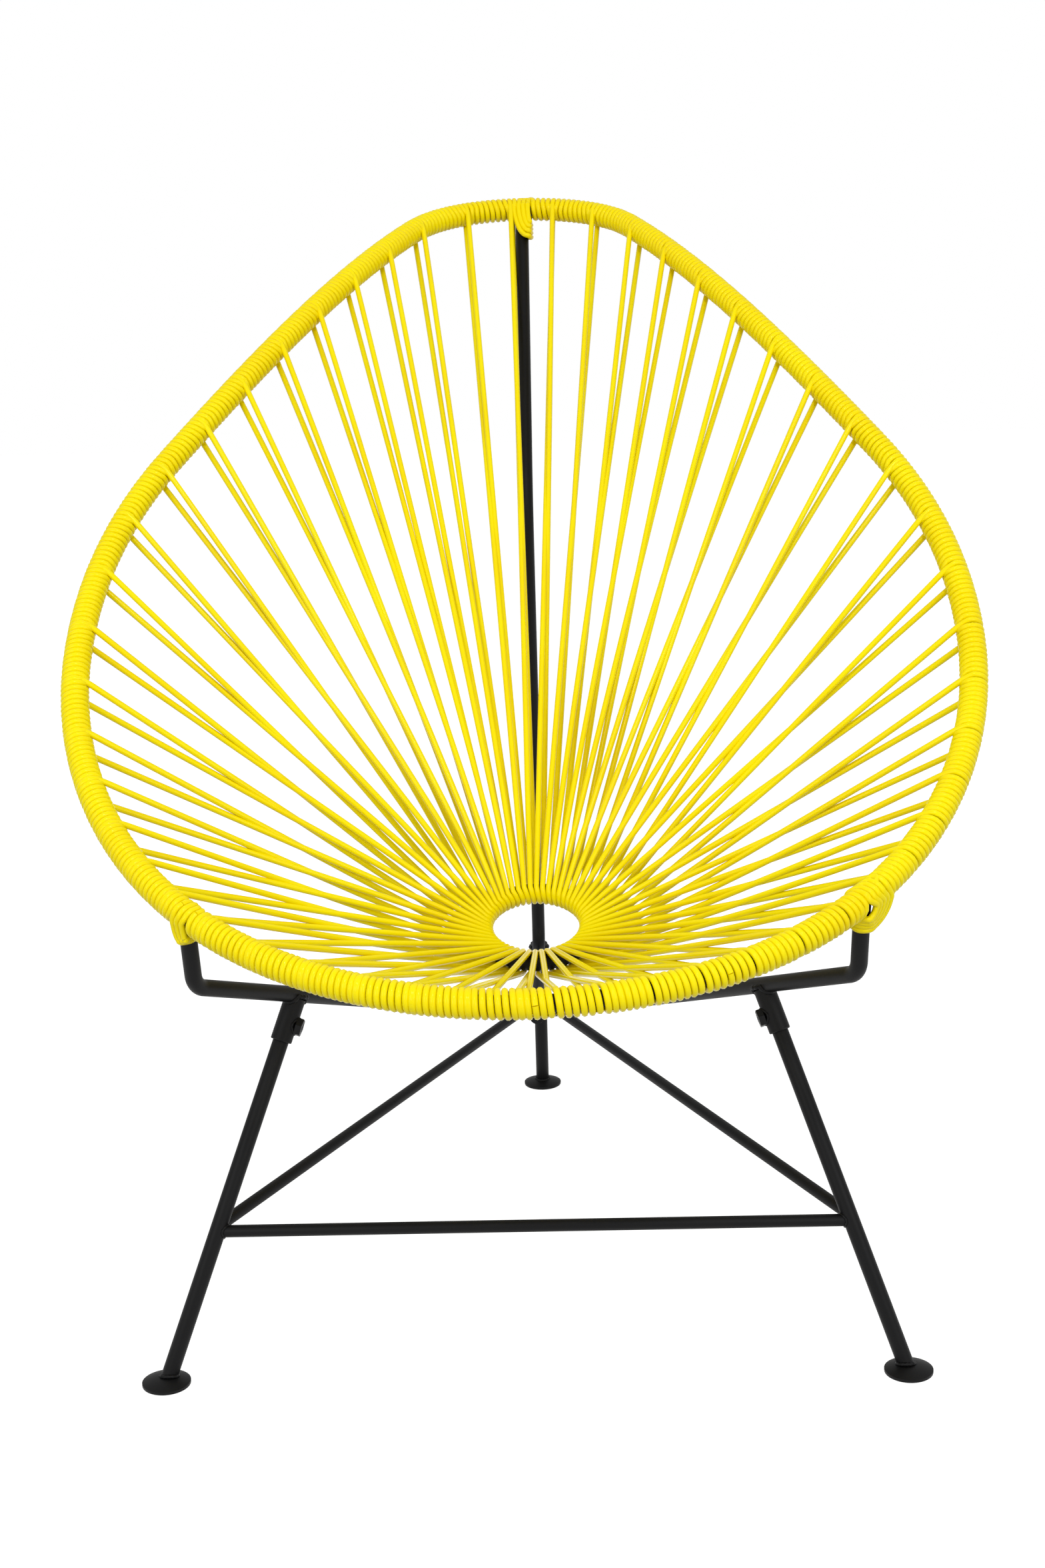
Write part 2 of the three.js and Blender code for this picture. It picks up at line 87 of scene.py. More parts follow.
# %% The hoop's side profile
hoop_depth = 844 * MM
hoop_front_height = 334 * MM
hoop_back_height = 871 * MM
front_slope, back_slope = math.radians(20), math.radians(15)
handle_share = 0.39
profile_steps = 1200


def slope_vector(angle):
    return Vector((math.cos(angle), math.sin(angle)))


def bezier(points, t):
    """A point on the cubic curve through four control points."""
    a, b, c, d = points
    u = 1 - t
    return a * u**3 + b * 3 * u * u * t + c * 3 * u * t * t + d * t**3


profile_front = Vector((-hoop_depth / 2, hoop_front_height))
profile_back = Vector((hoop_depth / 2, hoop_back_height))
handle = handle_share * hoop_depth
profile_control = (
    profile_front,
    profile_front + slope_vector(front_slope) * handle,
    profile_back - slope_vector(back_slope) * handle,
    profile_back,
)


class ByLength:
    """A chain of points that is read at a distance along it."""

    def __init__(self, points):
        self.points = points
        self.reach = [0.0]
        for a, b in zip(points, points[1:]):
            self.reach.append(self.reach[-1] + (b - a).length)
        self.length = self.reach[-1]

    def span(self, distance):
        low, high = 0, len(self.reach) - 1
        while high - low > 1:
            middle = (low + high) // 2
            if self.reach[middle] <= distance:
                low = middle
            else:
                high = middle
        return low

    def at(self, distance):
        i = self.span(distance)
        share = (distance - self.reach[i]) / (self.reach[i + 1] - self.reach[i])
        return self.points[i].lerp(self.points[i + 1], share)

    def heading(self, distance, step=0.4 * MM):
        before = self.at(max(distance - step, 0))
        after = self.at(min(distance + step, self.length))
        return (after - before).normalized()


profile = ByLength([bezier(profile_control, i / profile_steps) for i in range(profile_steps + 1)])
print(f"length over the slope {profile.length / MM:.1f} mm")

# %% [markdown]
# The hoop's outline is drawn as if the sloping surface were rolled out flat, which is how the
# tube would be set out on a bench: a round nose at the top, two straight tapers, a shoulder,
# and half an ellipse at the front. Only half of it is drawn, and the other half mirrors it.

# %% The hoop's outline, rolled out flat
hoop_half_width = 356 * MM
hoop_front_reach = 375 * MM
nose_radius = 120 * MM
taper_angle = math.radians(28.8)
nose_centre = profile.length - nose_radius
taper_start = slope_vector(taper_angle) * nose_radius + Vector((0, nose_centre))
shoulder_corner = taper_start.y - (hoop_half_width - taper_start.x) / math.tan(taper_angle)
shoulder_length = shoulder_corner - hoop_front_reach
taper_end = Vector((hoop_half_width, shoulder_corner)) + shoulder_length * Vector(
    (-math.sin(taper_angle), math.cos(taper_angle))
)


def outline_points(steps=300):
    """From the nose over the taper and the shoulder to the middle of the front."""
    points = []
    for i in range(steps):
        angle = math.pi / 2 + (taper_angle - math.pi / 2) * i / steps
        points.append(slope_vector(angle) * nose_radius + Vector((0, nose_centre)))
    points.append(taper_start)
    corner = Vector((hoop_half_width, shoulder_corner))
    widest = Vector((hoop_half_width, hoop_front_reach))
    for i in range(steps):
        t = i / steps
        points.append(taper_end * (1 - t) ** 2 + corner * 2 * t * (1 - t) + widest * t * t)
    for i in range(steps + 1):
        angle = math.pi / 2 * i / steps
        points.append(Vector((hoop_half_width * math.cos(angle), hoop_front_reach * (1 - math.sin(angle)))))
    return points


outline = ByLength(outline_points())
half_hoop = outline.length
print(f"half of the hoop {half_hoop / MM:.1f} mm")

# %% [markdown]
# A place on the hoop is found in two steps: the outline gives how far out and how far back it
# lies on the flat drawing, and the profile lifts that onto the slope. A station also knows
# the directions there, which the winding needs. Ways are measured all round from the spine.

# %% The hoop in space
class Station:
    """A place on the hoop: its point, its heading, the seat's upward side and the way out."""

    def __init__(self, distance, side=1):
        distance = min(abs(distance), half_hoop)
        flat, drift = outline.at(distance), outline.heading(distance)
        back = min(max(flat.y, 0), profile.length)
        lift, rise = profile.at(back), profile.heading(back)
        self.point = Vector((side * flat.x, lift.x, lift.y))
        self.heading = Vector((side * drift.x, drift.y * rise.x, drift.y * rise.y)).normalized()
        self.up = Vector((0, -rise.y, rise.x))
        self.out = self.up.cross(self.heading) * side


def on_hoop(way):
    """The station at a distance all the way round: down the right side and back up the left."""
    way = way % (2 * half_hoop)
    if way <= half_hoop:
        return Station(way, 1)
    station = Station(2 * half_hoop - way, -1)
    station.heading = -station.heading
    return station


def distance_at_width(width):
    """How far from the spine the hoop comes back in to this half width, near the front."""
    low, high = half_hoop / 2, half_hoop
    for _ in range(40):
        middle = (low + high) / 2
        if outline.at(middle).x > width:
            low = middle
        else:
            high = middle
    return low


upright_spacing = 243 * MM
arm_distance = distance_at_width(upright_spacing)
hoop_top = Station(0).point
print("top of the hoop", [round(v, 3) for v in hoop_top], "arms join at", round(arm_distance, 3))

# %% [markdown]
# The camera comes first, so that every later piece can be judged in the picture. It stands
# a little under two metres in front of the chair's middle, near the height of the top of
# the hoop, and looks down by 13 degrees. A small roll matches a camera that wasn't quite
# level.

# %% Camera
camera_place = Vector((38.2, -1890, 838)) * MM
camera_pitch = math.radians(13.4)
camera_yaw = math.radians(-1.32)
camera_roll = math.radians(1.6)
picture_height = 36
camera_lens = 52.04

ahead = Vector((
    math.sin(camera_yaw) * math.cos(camera_pitch),
    math.cos(camera_yaw) * math.cos(camera_pitch),
    -math.sin(camera_pitch),
))
level = Vector((math.cos(camera_yaw), -math.sin(camera_yaw), 0))
raised = level.cross(ahead)
across = level * math.cos(camera_roll) - raised * math.sin(camera_roll)
upright = raised * math.cos(camera_roll) + level * math.sin(camera_roll)
camera_data = bpy.data.cameras.new("camera")
camera_data.sensor_fit = "VERTICAL"
camera_data.sensor_height = picture_height
camera_data.lens = camera_lens
camera = bpy.data.objects.new("camera", camera_data)
facing_camera = Matrix((across, upright, -ahead)).transposed().to_4x4()
camera.matrix_world = Matrix.Translation(camera_place) @ facing_camera
bpy.context.scene.collection.objects.link(camera)
bpy.context.scene.camera = camera
print("camera looks along", [round(v, 3) for v in ahead])


# %% [markdown]
# Shader maths reads best as plain expressions. This small class wraps a socket, so that
# adding or multiplying two of them makes the Math node.

# %% Sockets in expressions
class Wire:
    """A socket in a node tree that can be written in an expression."""

    def __init__(self, tree, socket):
        self.tree = tree
        self.socket = socket

    def math(self, operation, *others, clamp=False):
        node = self.tree.nodes.new("ShaderNodeMath")
        node.operation = operation
        node.use_clamp = clamp
        for port, value in zip(node.inputs, (self, *others)):
            plug(self.tree, port, value)
        return Wire(self.tree, node.outputs[0])

    def __add__(self, other):
        return self.math("ADD", other)

    def __mul__(self, other):
        return self.math("MULTIPLY", other)

    def __sub__(self, other):
        return self.math("SUBTRACT", other)

    def __rsub__(self, other):
        return (self * -1.0) + other

    __radd__ = __add__
    __rmul__ = __mul__


def plug(tree, port, value):
    if isinstance(value, Wire):
        tree.links.new(value.socket, port)
    else:
        port.default_value = value


print("a socket takes +, - and *")

# %% [markdown]
# Every other node is made by one method, which takes its type, its settings, and the values
# or links of its sockets. The settings come first, because some of them change the sockets.
# The same small class starts the cord's vinyl, the steel's coat, the floor and the world.

# %% Finishes
class Finish:
    """A material or world under construction."""

    def __init__(self, name, kept_in=bpy.data.materials):
        self.owner = kept_in.new(name)
        self.owner.use_nodes = True
        self.tree = self.owner.node_tree
        self.tree.nodes.clear()

    def node(self, kind, settings=None, inputs=None, output=0):
        made = self.tree.nodes.new(kind)
        for key, value in (settings or {}).items():
            if key == "stops":
                ramp = made.color_ramp
                ramp.elements[0].position, ramp.elements[0].color = value[0]
                ramp.elements[1].position, ramp.elements[1].color = value[-1]
                for position, colour in value[1:-1]:
                    ramp.elements.new(position).color = colour
            else:
                setattr(made, key, value)
        for key, value in (inputs or {}).items():
            plug(self.tree, made.inputs[key], value)
        return Wire(self.tree, made.outputs[output]) if made.outputs else None

    def place(self):
        return self.node("ShaderNodeTexCoord", output="Object")

    def finish(self, surface, output="ShaderNodeOutputMaterial"):
        self.node(output, inputs={"Surface": surface})
        return self.owner


def linear(red, green, blue):
    """A colour given as it looks on a screen, from 0 to 255, for a colour socket."""
    shares = [v / 255 for v in (red, green, blue)]
    return tuple(v / 12.92 if v < 0.04 else ((v + 0.055) / 1.055) ** 2.4 for v in shares) + (1,)


def grey(value):
    return (value, value, value, 1)


print("mid grey on a screen is", [round(v, 2) for v in linear(128, 128, 128)], "in a socket")

# %% [markdown]
# The cord is solid vinyl, bright yellow all through. It is glossy but a little waxy. Where
# turns lie side by side the light bounces from yellow to yellow, so the grooves turn deeper by
# themselves. What the shader adds is small: cloudy drift in the colour, faint scuffs in the
# gloss, and the fine ripple of extruded vinyl.

# %% Vinyl cord finish
def vinyl_finish(name, colour, deep_colour):
    finish = Finish(name)
    place = finish.place()
    cloud = finish.node("ShaderNodeTexNoise", inputs={"Vector": place, "Scale": 11.0, "Detail": 3.0})
    scuff = finish.node("ShaderNodeTexNoise", inputs={"Vector": place, "Scale": 60.0, "Detail": 4.0})
    ripple = finish.node("ShaderNodeTexNoise", inputs={"Vector": place, "Scale": 110.0, "Detail": 1.0})
    tint = finish.node(
        "ShaderNodeValToRGB", settings={"stops": [(0.3, deep_colour), (0.6, colour)]}, inputs={"Fac": cloud}
    )
    bump = finish.node("ShaderNodeBump", inputs={"Strength": 0.035, "Distance": 0.0004, "Height": ripple})
    surface = finish.node(
        "ShaderNodeBsdfPrincipled",
        inputs={
            "Base Color": tint,
            "Roughness": scuff * 0.1 + 0.15,
            "IOR": 1.5,
            "Specular IOR Level": 0.13,
            "Normal": bump,
        },
    )
    return finish.finish(surface)


cord_yellow = vinyl_finish("vinyl cord", linear(245, 227, 3), linear(242, 218, 1))
print("cord finish", cord_yellow.name)

# %% [markdown]
# The base is powder coated: baked paint with a fine orange-peel skin, nearly black and satin.
# The peel is a bump, and its gloss drifts a little because powder never lies quite even.

# %% Powder coat finish
def powder_finish(name, colour, roughness):
    finish = Finish(name)
    place = finish.place()
    peel = finish.node("ShaderNodeTexNoise", inputs={"Vector": place, "Scale": 900.0, "Detail": 2.0})
    drift = finish.node("ShaderNodeTexNoise", inputs={"Vector": place, "Scale": 14.0, "Detail": 4.0})
    lighter = tuple(v * 1.35 for v in colour[:3]) + (1,)
    tint = finish.node(
        "ShaderNodeValToRGB", settings={"stops": [(0.35, colour), (0.7, lighter)]}, inputs={"Fac": drift}
    )
    bump = finish.node("ShaderNodeBump", inputs={"Strength": 0.16, "Distance": 0.0002, "Height": peel})
    surface = finish.node(
        "ShaderNodeBsdfPrincipled",
        inputs={
            "Base Color": tint,
            "Roughness": drift * 0.12 + (roughness - 0.06),
            "IOR": 1.5,
            "Specular IOR Level": 0.18,
            "Normal": bump,
        },
    )
    return finish.finish(surface)


near_black = linear(7, 7, 8)
frame_black = powder_finish("powder coat", near_black, 0.5)
fixing_black = powder_finish("blacked fixing", near_black, 0.4)
print("steel finishes", frame_black.name, fixing_black.name)

# %% [markdown]
# A piece is finished the same way each time: its mesh gets one material, it rides on the
# chair's only body, and it stands for the CAD nodes that it covers.

# %% Putting pieces in the scene
def put(name, mesh, material, slot, *stands_for):
    mesh.materials.clear()
    mesh.materials.append(material)
    piece = bpy.data.objects.new(name, mesh)
    bpy.context.scene.collection.objects.link(piece)
    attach(piece, "root")
    if stands_for:
        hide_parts(*stands_for)
    return piece


def shade_smooth(mesh, angle=None):
    for face in mesh.polygons:
        face.use_smooth = True
    if angle is not None:
        mesh.set_sharp_from_angle(angle=math.radians(angle))
    return mesh


def mesh_of(bm, name, angle=35, merged_within=0.002 * MM):
    """The finished mesh of a bmesh, with its doubles merged and its faces turned out."""
    bmesh.ops.remove_doubles(bm, verts=bm.verts, dist=merged_within)
    bmesh.ops.recalc_face_normals(bm, faces=bm.faces)
    mesh = bpy.data.meshes.new(name)
    bm.to_mesh(mesh)
    bm.free()
    return shade_smooth(mesh, angle)


def cord_mesh(name, points, radii, resolution=2, closed=False):
    """A round cord through the points, each with its own radius."""
    curve = bpy.data.curves.new(name, "CURVE")
    curve.dimensions = "3D"
    curve.bevel_depth = 1.0
    curve.bevel_resolution = resolution
    curve.use_fill_caps = not closed
    spline = curve.splines.new("POLY")
    spline.points.add(len(points) - 1)
    for knot, place, radius in zip(spline.points, points, radii):
        knot.co = (*place, 1)
        knot.radius = radius
    spline.use_cyclic_u = closed
    carrier = bpy.data.objects.new(name, curve)
    mesh = bpy.data.meshes.new_from_object(carrier)
    bpy.data.objects.remove(carrier)
    bpy.data.curves.remove(curve)
    return shade_smooth(mesh)


print("pieces ride on root, the chair's only body")

# %% [markdown]
# The steel is tube and rod. Each length is swept: a circle is extruded ring by ring along the
# way, and every new ring is turned with the way's heading, so the section never twists. The
# ways repeat the CAD's corners and bends.

# %% Sweeping tube and rod
def bent_route(corners, radii, step=math.radians(4)):
    """Stations of a tube that runs straight between its corners and bends at each of them."""
    stations = [(corners[0], (corners[1] - corners[0]).normalized())]
    for before, corner, after, radius in zip(corners, corners[1:], corners[2:], radii):
        inward = (corner - before).normalized()
        turn = inward.angle(after - corner)
        axis = inward.cross(after - corner).normalized()
        start = corner - inward * radius * math.tan(turn / 2)
        spoke = -axis.cross(inward) * radius
        count = math.ceil(turn / step)
        for i in range(count + 1):
            turned = Matrix.Rotation(turn * i / count, 3, axis)
            stations.append((start - spoke + turned @ spoke, turned @ inward))
    stations.append((corners[-1], (corners[-1] - corners[-2]).normalized()))
    return stations


def straight(start, end):
    return bent_route([start, end], [])


def facing(place, way):
    """A pose at the place with its own upright along the way."""
    return Matrix.Translation(place) @ way.to_track_quat("Z", "Y").to_matrix().to_4x4()


def edges_among(items):
    """Each edge among these items once, in the order in which they come."""
    return list(dict.fromkeys(item for item in items if isinstance(item, bmesh.types.BMEdge)))


def grown_from(bm, edges):
    """The new vertices and the new ring of edges that an extrusion of these edges makes."""
    made = bmesh.ops.extrude_edge_only(bm, edges=edges)["geom"]
    verts = [item for item in made if isinstance(item, bmesh.types.BMVert)]
    return verts, [edge for edge in edges_among(made) if all(vert in verts for vert in edge.verts)]


def rounded_edges(bm, edges, width):
    bmesh.ops.bevel(
        bm, geom=edges, offset=width, segments=2, profile=0.5, affect="EDGES", material=-1
    )


def swept_tube(name, stations, radius, sides=32, closed=False, rim=0.5 * MM):
    """A tube or rod along the stations, closed to a hoop or capped with a small rounding."""
    bm = bmesh.new()
    pose = facing(*stations[0])
    bmesh.ops.create_circle(bm, cap_ends=not closed, segments=sides, radius=radius, matrix=pose)
    first = last = list(bm.edges)
    for (here, heading), (there, next_heading) in zip(stations, stations[1:]):
        verts, last = grown_from(bm, last)
        turn = heading.rotation_difference(next_heading).to_matrix().to_4x4()
        move = Matrix.Translation(there) @ turn @ Matrix.Translation(-here)
        bmesh.ops.transform(bm, matrix=move, verts=verts)
    if closed:
        bmesh.ops.bridge_loops(bm, edges=first + last)
    else:
        bmesh.ops.holes_fill(bm, edges=last, sides=0)
        rounded_edges(bm, first + last, rim)
    return mesh_of(bm, name)


sample = bent_route([Vector((0, 0, 0)), Vector((1, 0, 0)), Vector((1, 1, 0))], [0.1])
print("a square bend takes", len(sample), "rings")

# %% [markdown]
# The hoop is the same sweep, closed on itself. The cord hides nearly all of it, but it shows
# as a dark line in the slits beside the joints, so it is made in full.

# %% The hoop itself
hoop_steps = 260
hoop_stations = [on_hoop(2 * half_hoop * i / hoop_steps) for i in range(hoop_steps)]
hoop_route = [(station.point, station.heading) for station in hoop_stations]
hoop_piece = swept_tube("hoop", hoop_route, tube_radius, sides=24, closed=True)
put("hoop_tube", hoop_piece, frame_black, "frame_steel", "seat_hoop")
print("hoop of", hoop_steps, "rings")

# %% [markdown]
# Two arms carry the front corners of the hoop. Each starts as an upright under the hoop, bends
# and runs to the middle of the chair, where both meet the tip of the spine. The spine leaves
# the hoop's nose, comes forward behind the seat, bends down, and turns under it at the heel.

# %% Arms and spine
arm_joint = Vector((0, 100, 147)) * MM
upright_drop = 61 * MM
upright_lean = 19 * MM
arm_bend_radius = 20 * MM
spine_knee = Vector((0, 245, 600)) * MM
spine_heel = Vector((0, 290, 150)) * MM
spine_bend_radii = [110 * MM, 25 * MM]
tip_past_joint = 16 * MM
sides = (("left", -1), ("right", 1))


def arm_corners(side):
    """The arm's start in the hoop, its bend under it and its end in the middle."""
    top = Station(arm_distance, side).point
    bend = Vector((side * upright_spacing, top.y + upright_lean, top.z - upright_drop))
    return [top, bend, arm_joint]


for name, side in sides:
    arm_route = bent_route(arm_corners(side), [arm_bend_radius])
    arm = swept_tube("arm", arm_route, tube_radius)
    put(f"arm_{name}", arm, frame_black, "frame_steel", f"arm_tube_{name}")

spine_tip = arm_joint + (arm_joint - spine_heel).normalized() * tip_past_joint
spine_route = bent_route([hoop_top, spine_knee, spine_heel, spine_tip], spine_bend_radii)
spine = swept_tube("spine", spine_route, tube_radius)
put("spine", spine, frame_black, "frame_steel", "spine_tube")
print("spine of", len(spine_route), "rings")

# %% [markdown]
# Every joint of the base is welded. A bead is a thin cord laid where one tube meets the other,
# found by running lines along the branch's surface until they meet the main tube. Its
# thickness swells a little at each step of the weld. The fattest beads hold the sleeves.

# %% Weld beads
tube_bead, sleeve_bead, nut_bead, rod_bead, nose_bead = (v * MM for v in (1.5, 1.9, 1.0, 1.1, 1.2))
bead_swell_share = 0.12


def weld_points(branch_at, branch_way, branch_radius, main_at, main_way, main_radius, steps=60):
    """Points round a branch where its surface meets the main tube, or passes it closest."""
    side = branch_way.orthogonal().normalized()
    other = branch_way.cross(side)
    flat_way = branch_way - main_way * branch_way.dot(main_way)
    points = []
    for i in range(steps):
        angle = 2 * math.pi * i / steps
        foot = branch_at + (side * math.cos(angle) + other * math.sin(angle)) * branch_radius
        reach = foot - main_at
        reach -= main_way * reach.dot(main_way)
        a, b = flat_way.length_squared, 2 * reach.dot(flat_way)
        inside = b * b - 4 * a * (reach.length_squared - main_radius**2)
        points.append(foot + branch_way * (-b - math.sqrt(max(inside, 0))) / (2 * a))
    return points


def weld(name, points, bead, steps=11):
    """A closed bead along the points, a little thicker at each step of the weld."""
    turns = [2 * math.pi * steps * i / len(points) for i in range(len(points))]
    radii = [bead * (1 + bead_swell_share * math.sin(turn)) for turn in turns]
    return put(name, cord_mesh(name, points, radii, closed=True), frame_black, "frame_steel")


spine_way = (spine_heel - arm_joint).normalized()
for name, side in sides:
    bend = arm_corners(side)[1]
    arm_way = (arm_joint - bend).normalized()
    seam = weld_points(bend, arm_way, tube_radius, arm_joint, spine_way, tube_radius)
    weld(f"weld_arm_{name}", seam, tube_bead)
print("bead round each arm's end has", len(seam), "points")

# %% [markdown]
# Each leg's line runs from the middle of its foot to the tube that it carries, and its top
# sits in a sleeve under that tube. The leg's own end stays a gap below the tube's middle, and
# the sleeve spans from its rise to its drop below the same point. The rear sleeve is shorter.

# %% The lines of the legs
sleeve_spacing = 182 * MM
front_foot_out, front_foot_back, rear_foot_back = 282 * MM, -320 * MM, 300 * MM


class Leg:
    """One leg: its foot, its top on the carried tube, and the way in to the chair's middle."""

    def __init__(self, name, foot, top, inward, gap, rise, drop):
        self.name = name
        self.foot = foot
        self.top = top
        self.way = (top - self.foot).normalized()
        self.inward = (Vector(inward) - self.way * Vector(inward).dot(self.way)).normalized()
        self.carried_way = (arm_joint - top).normalized()
        self.gap, self.rise, self.drop = gap * MM, rise * MM, drop * MM

    def below(self, drop):
        return self.top - self.way * drop

    def at_height(self, height):
        return self.foot + self.way * (height / self.way.z)


def front_leg(name, side):
    foot = Vector((side * front_foot_out, front_foot_back, 0))
    top = arm_corners(side)[1].lerp(arm_joint, 1 - sleeve_spacing / upright_spacing)
    return Leg(f"front_{name}", foot, top, (-side, 0, 0), gap=15, rise=3, drop=38)


rear_foot = Vector((0, rear_foot_back, 0))
legs = [front_leg(name, side) for name, side in sides]
legs.append(Leg("rear", rear_foot, spine_heel, (0, 1, 0), gap=2, rise=-4, drop=27))
print("legs", [leg.name for leg in legs])

# %% [markdown]
# Three legs stand on low domed feet. A foot is turned: half its section is drawn as edges and
# spun a full turn. The edge is rounded under and over, and the dome rises from it evenly.

# %% Feet and legs
foot_radius = 18.5 * MM
foot_edge = 3.6 * MM
foot_crown = 6.6 * MM
bead_in_dome = 0.3 * MM


def spun(name, profile_points, place=Matrix.Identity(4), steps=64):
    """A turned piece: its profile, in distance out and height, spun round the upright axis."""
    bm = bmesh.new()
    verts = [bm.verts.new((out, 0, up)) for out, up in profile_points]
    for a, b in zip(verts, verts[1:]):
        bm.edges.new((a, b))
    bmesh.ops.spin(
        bm, geom=[*bm.verts, *bm.edges], cent=(0, 0, 0), axis=(0, 0, 1), angle=2 * math.pi, steps=steps,
        use_merge=True
    )
    bmesh.ops.transform(bm, matrix=place, verts=bm.verts)
    return mesh_of(bm, name)


def foot_profile(corner=0.9 * MM, arc_steps=4, dome_steps=8):
    """Half the section of a foot, from the middle of its underside round to its crown."""
    rim = foot_radius - corner
    points = [(0, 0)]
    for i in range(arc_steps + 1):
        angle = math.pi / 2 * i / arc_steps
        points.append((rim + corner * math.sin(angle), corner - corner * math.cos(angle)))
    for i in range(dome_steps + 1):
        share = i / dome_steps
        angle = math.pi / 2 * share
        out = rim * (1 - share) + corner * math.cos(angle)
        dome = (foot_crown - foot_edge) * (1 - (1 - share) ** 2)
        points.append((out, foot_edge - corner + corner * math.sin(angle) + dome))
    return points


across_foot, nearly_flat = Vector((1, 0, 0)), 0.01 * MM
for leg in legs:
    foot = spun("foot", foot_profile(), Matrix.Translation(leg.foot))
    put(f"foot_{leg.name}_disc", foot, frame_black, "frame_steel", f"foot_{leg.name}")
    tube = swept_tube("leg", straight(leg.at_height(foot_edge), leg.below(leg.gap)), tube_radius)
    put(f"leg_{leg.name}_tube", tube, frame_black, "frame_steel", f"leg_{leg.name}")
    crown = leg.foot + Vector((0, 0, foot_crown - bead_in_dome))
    seam = weld_points(leg.top, -leg.way, tube_radius, crown, across_foot, nearly_flat)
    weld(f"weld_foot_{leg.name}", seam, tube_bead, 14)
print("a foot's section has", len(foot_profile()), "points")

# %% [markdown]
# A sleeve holds each leg's top. It is turned like a foot, runs into the tube above it, and is
# welded to that tube with a fat bead, so its top end never shows.

# %% Sleeves
leg_play = 0.3 * MM
sleeve_wall = 1.8 * MM
sleeve_bore = tube_radius + leg_play
sleeve_radius = sleeve_bore + sleeve_wall


def sleeve_profile(length, lip=0.7 * MM):
    inner, outer = sleeve_bore, sleeve_radius
    return [(inner, 0), (inner, length), (outer, length), (outer, lip), (outer - lip, 0), (inner, 0)]


for leg in legs:
    sleeve_foot = leg.below(leg.drop)
    sleeve = spun("sleeve", sleeve_profile(leg.drop - leg.rise), facing(sleeve_foot, leg.way))
    put(f"socket_{leg.name}_sleeve", sleeve, frame_black, "frame_steel", f"socket_{leg.name}")
    seam = weld_points(
        sleeve_foot, leg.way, sleeve_radius, leg.top, leg.carried_way, tube_radius, steps=72
    )
    weld(f"weld_socket_{leg.name}", seam, sleeve_bead, 16)
print("sleeves", [round((leg.drop - leg.rise) / MM) for leg in legs], "mm long")

# %% [markdown]
# On the inner side of each sleeve sits a hexagon nut with a set screw in it, which bears on
# the leg. Both are a short prism with a hole in its face, so one function makes them: two
# rings of edges are bridged to a face, and each ring is then extruded to its own depth.

# %% Nuts and set screws
nut_flat, nut_thickness, nut_sunk, nut_off_sleeve = (v * MM for v in (13, 4, 0.6, 0.3))
screw_radius, screw_length, screw_key, key_depth = (v * MM for v in (3, 6, 3, 3))
thread_play = 0.2 * MM
nut_rim, screw_rim = 0.5 * MM, 0.35 * MM
screw_below_middle = 3 * MM
hexagon, round_sides = 6, 24


def polygon(bm, corners, flat_radius):
    """A ring of edges with so many corners, cut finely enough to be bridged to a round one."""
    cuts = round_sides // corners
    corner_radius = flat_radius / math.cos(math.pi / corners) if cuts > 1 else flat_radius
    made = bmesh.ops.create_circle(bm, segments=corners, radius=corner_radius)["verts"]
    edges = edges_among(edge for vert in made for edge in vert.link_edges)
    if cuts > 1:
        cut = bmesh.ops.subdivide_edges(bm, edges=edges, cuts=cuts - 1)
        edges = edges_among(cut["geom"])
    return edges


def drilled(name, outline, hole, pose, rim):
    """A short prism and the hole in its face, each given as corners, inner radius and depth."""
    bm = bmesh.new()
    outer_edges, hole_edges = polygon(bm, *outline[:2]), polygon(bm, *hole[:2])
    bmesh.ops.bridge_loops(bm, edges=outer_edges + hole_edges)
    for edges, depth in ((outer_edges, outline[2]), (hole_edges, hole[2])):
        verts, floor = grown_from(bm, edges)
        bmesh.ops.translate(bm, verts=verts, vec=(0, 0, -depth))
        if edges is hole_edges and depth < outline[2]:
            bmesh.ops.holes_fill(bm, edges=floor, sides=0)
    rounded_edges(bm, outer_edges, rim)
    bmesh.ops.transform(bm, matrix=pose, verts=bm.verts)
    return mesh_of(bm, name)


nut_depth = nut_sunk + nut_off_sleeve + nut_thickness
for leg in legs:
    screw_at = leg.below((leg.rise + leg.drop) / 2 + screw_below_middle)
    nut_face = screw_at + leg.inward * (sleeve_radius + nut_off_sleeve + nut_thickness)
    thread = (round_sides, screw_radius + thread_play, nut_thickness)
    nut_pose = facing(nut_face, leg.inward)
    nut = drilled("nut", (hexagon, nut_flat / 2, nut_depth), thread, nut_pose, nut_rim)
    put(f"nut_{leg.name}_hex", nut, fixing_black, "fixing_steel", f"nut_{leg.name}")
    screw_pose = facing(screw_at + leg.inward * (sleeve_bore + screw_length), leg.inward)
    key = (hexagon, screw_key / 2, key_depth)
    screw = drilled("screw", (round_sides, screw_radius, screw_length), key, screw_pose, screw_rim)
    put(f"set_screw_{leg.name}_end", screw, fixing_black, "fixing_steel", f"set_screw_{leg.name}")
    seam = weld_points(
        nut_face, -leg.inward, nut_flat / 2, leg.below(leg.drop), leg.way, sleeve_radius
    )
    weld(f"weld_nut_{leg.name}", seam, nut_bead)
print("nuts stand", round((nut_off_sleeve + nut_thickness) / MM, 1), "mm off the sleeves")

# %% [markdown]
# Two rods tie the base together: a straight stretcher between the front legs, and a brace bent
# to a V, whose rounded nose rests against the rear leg.

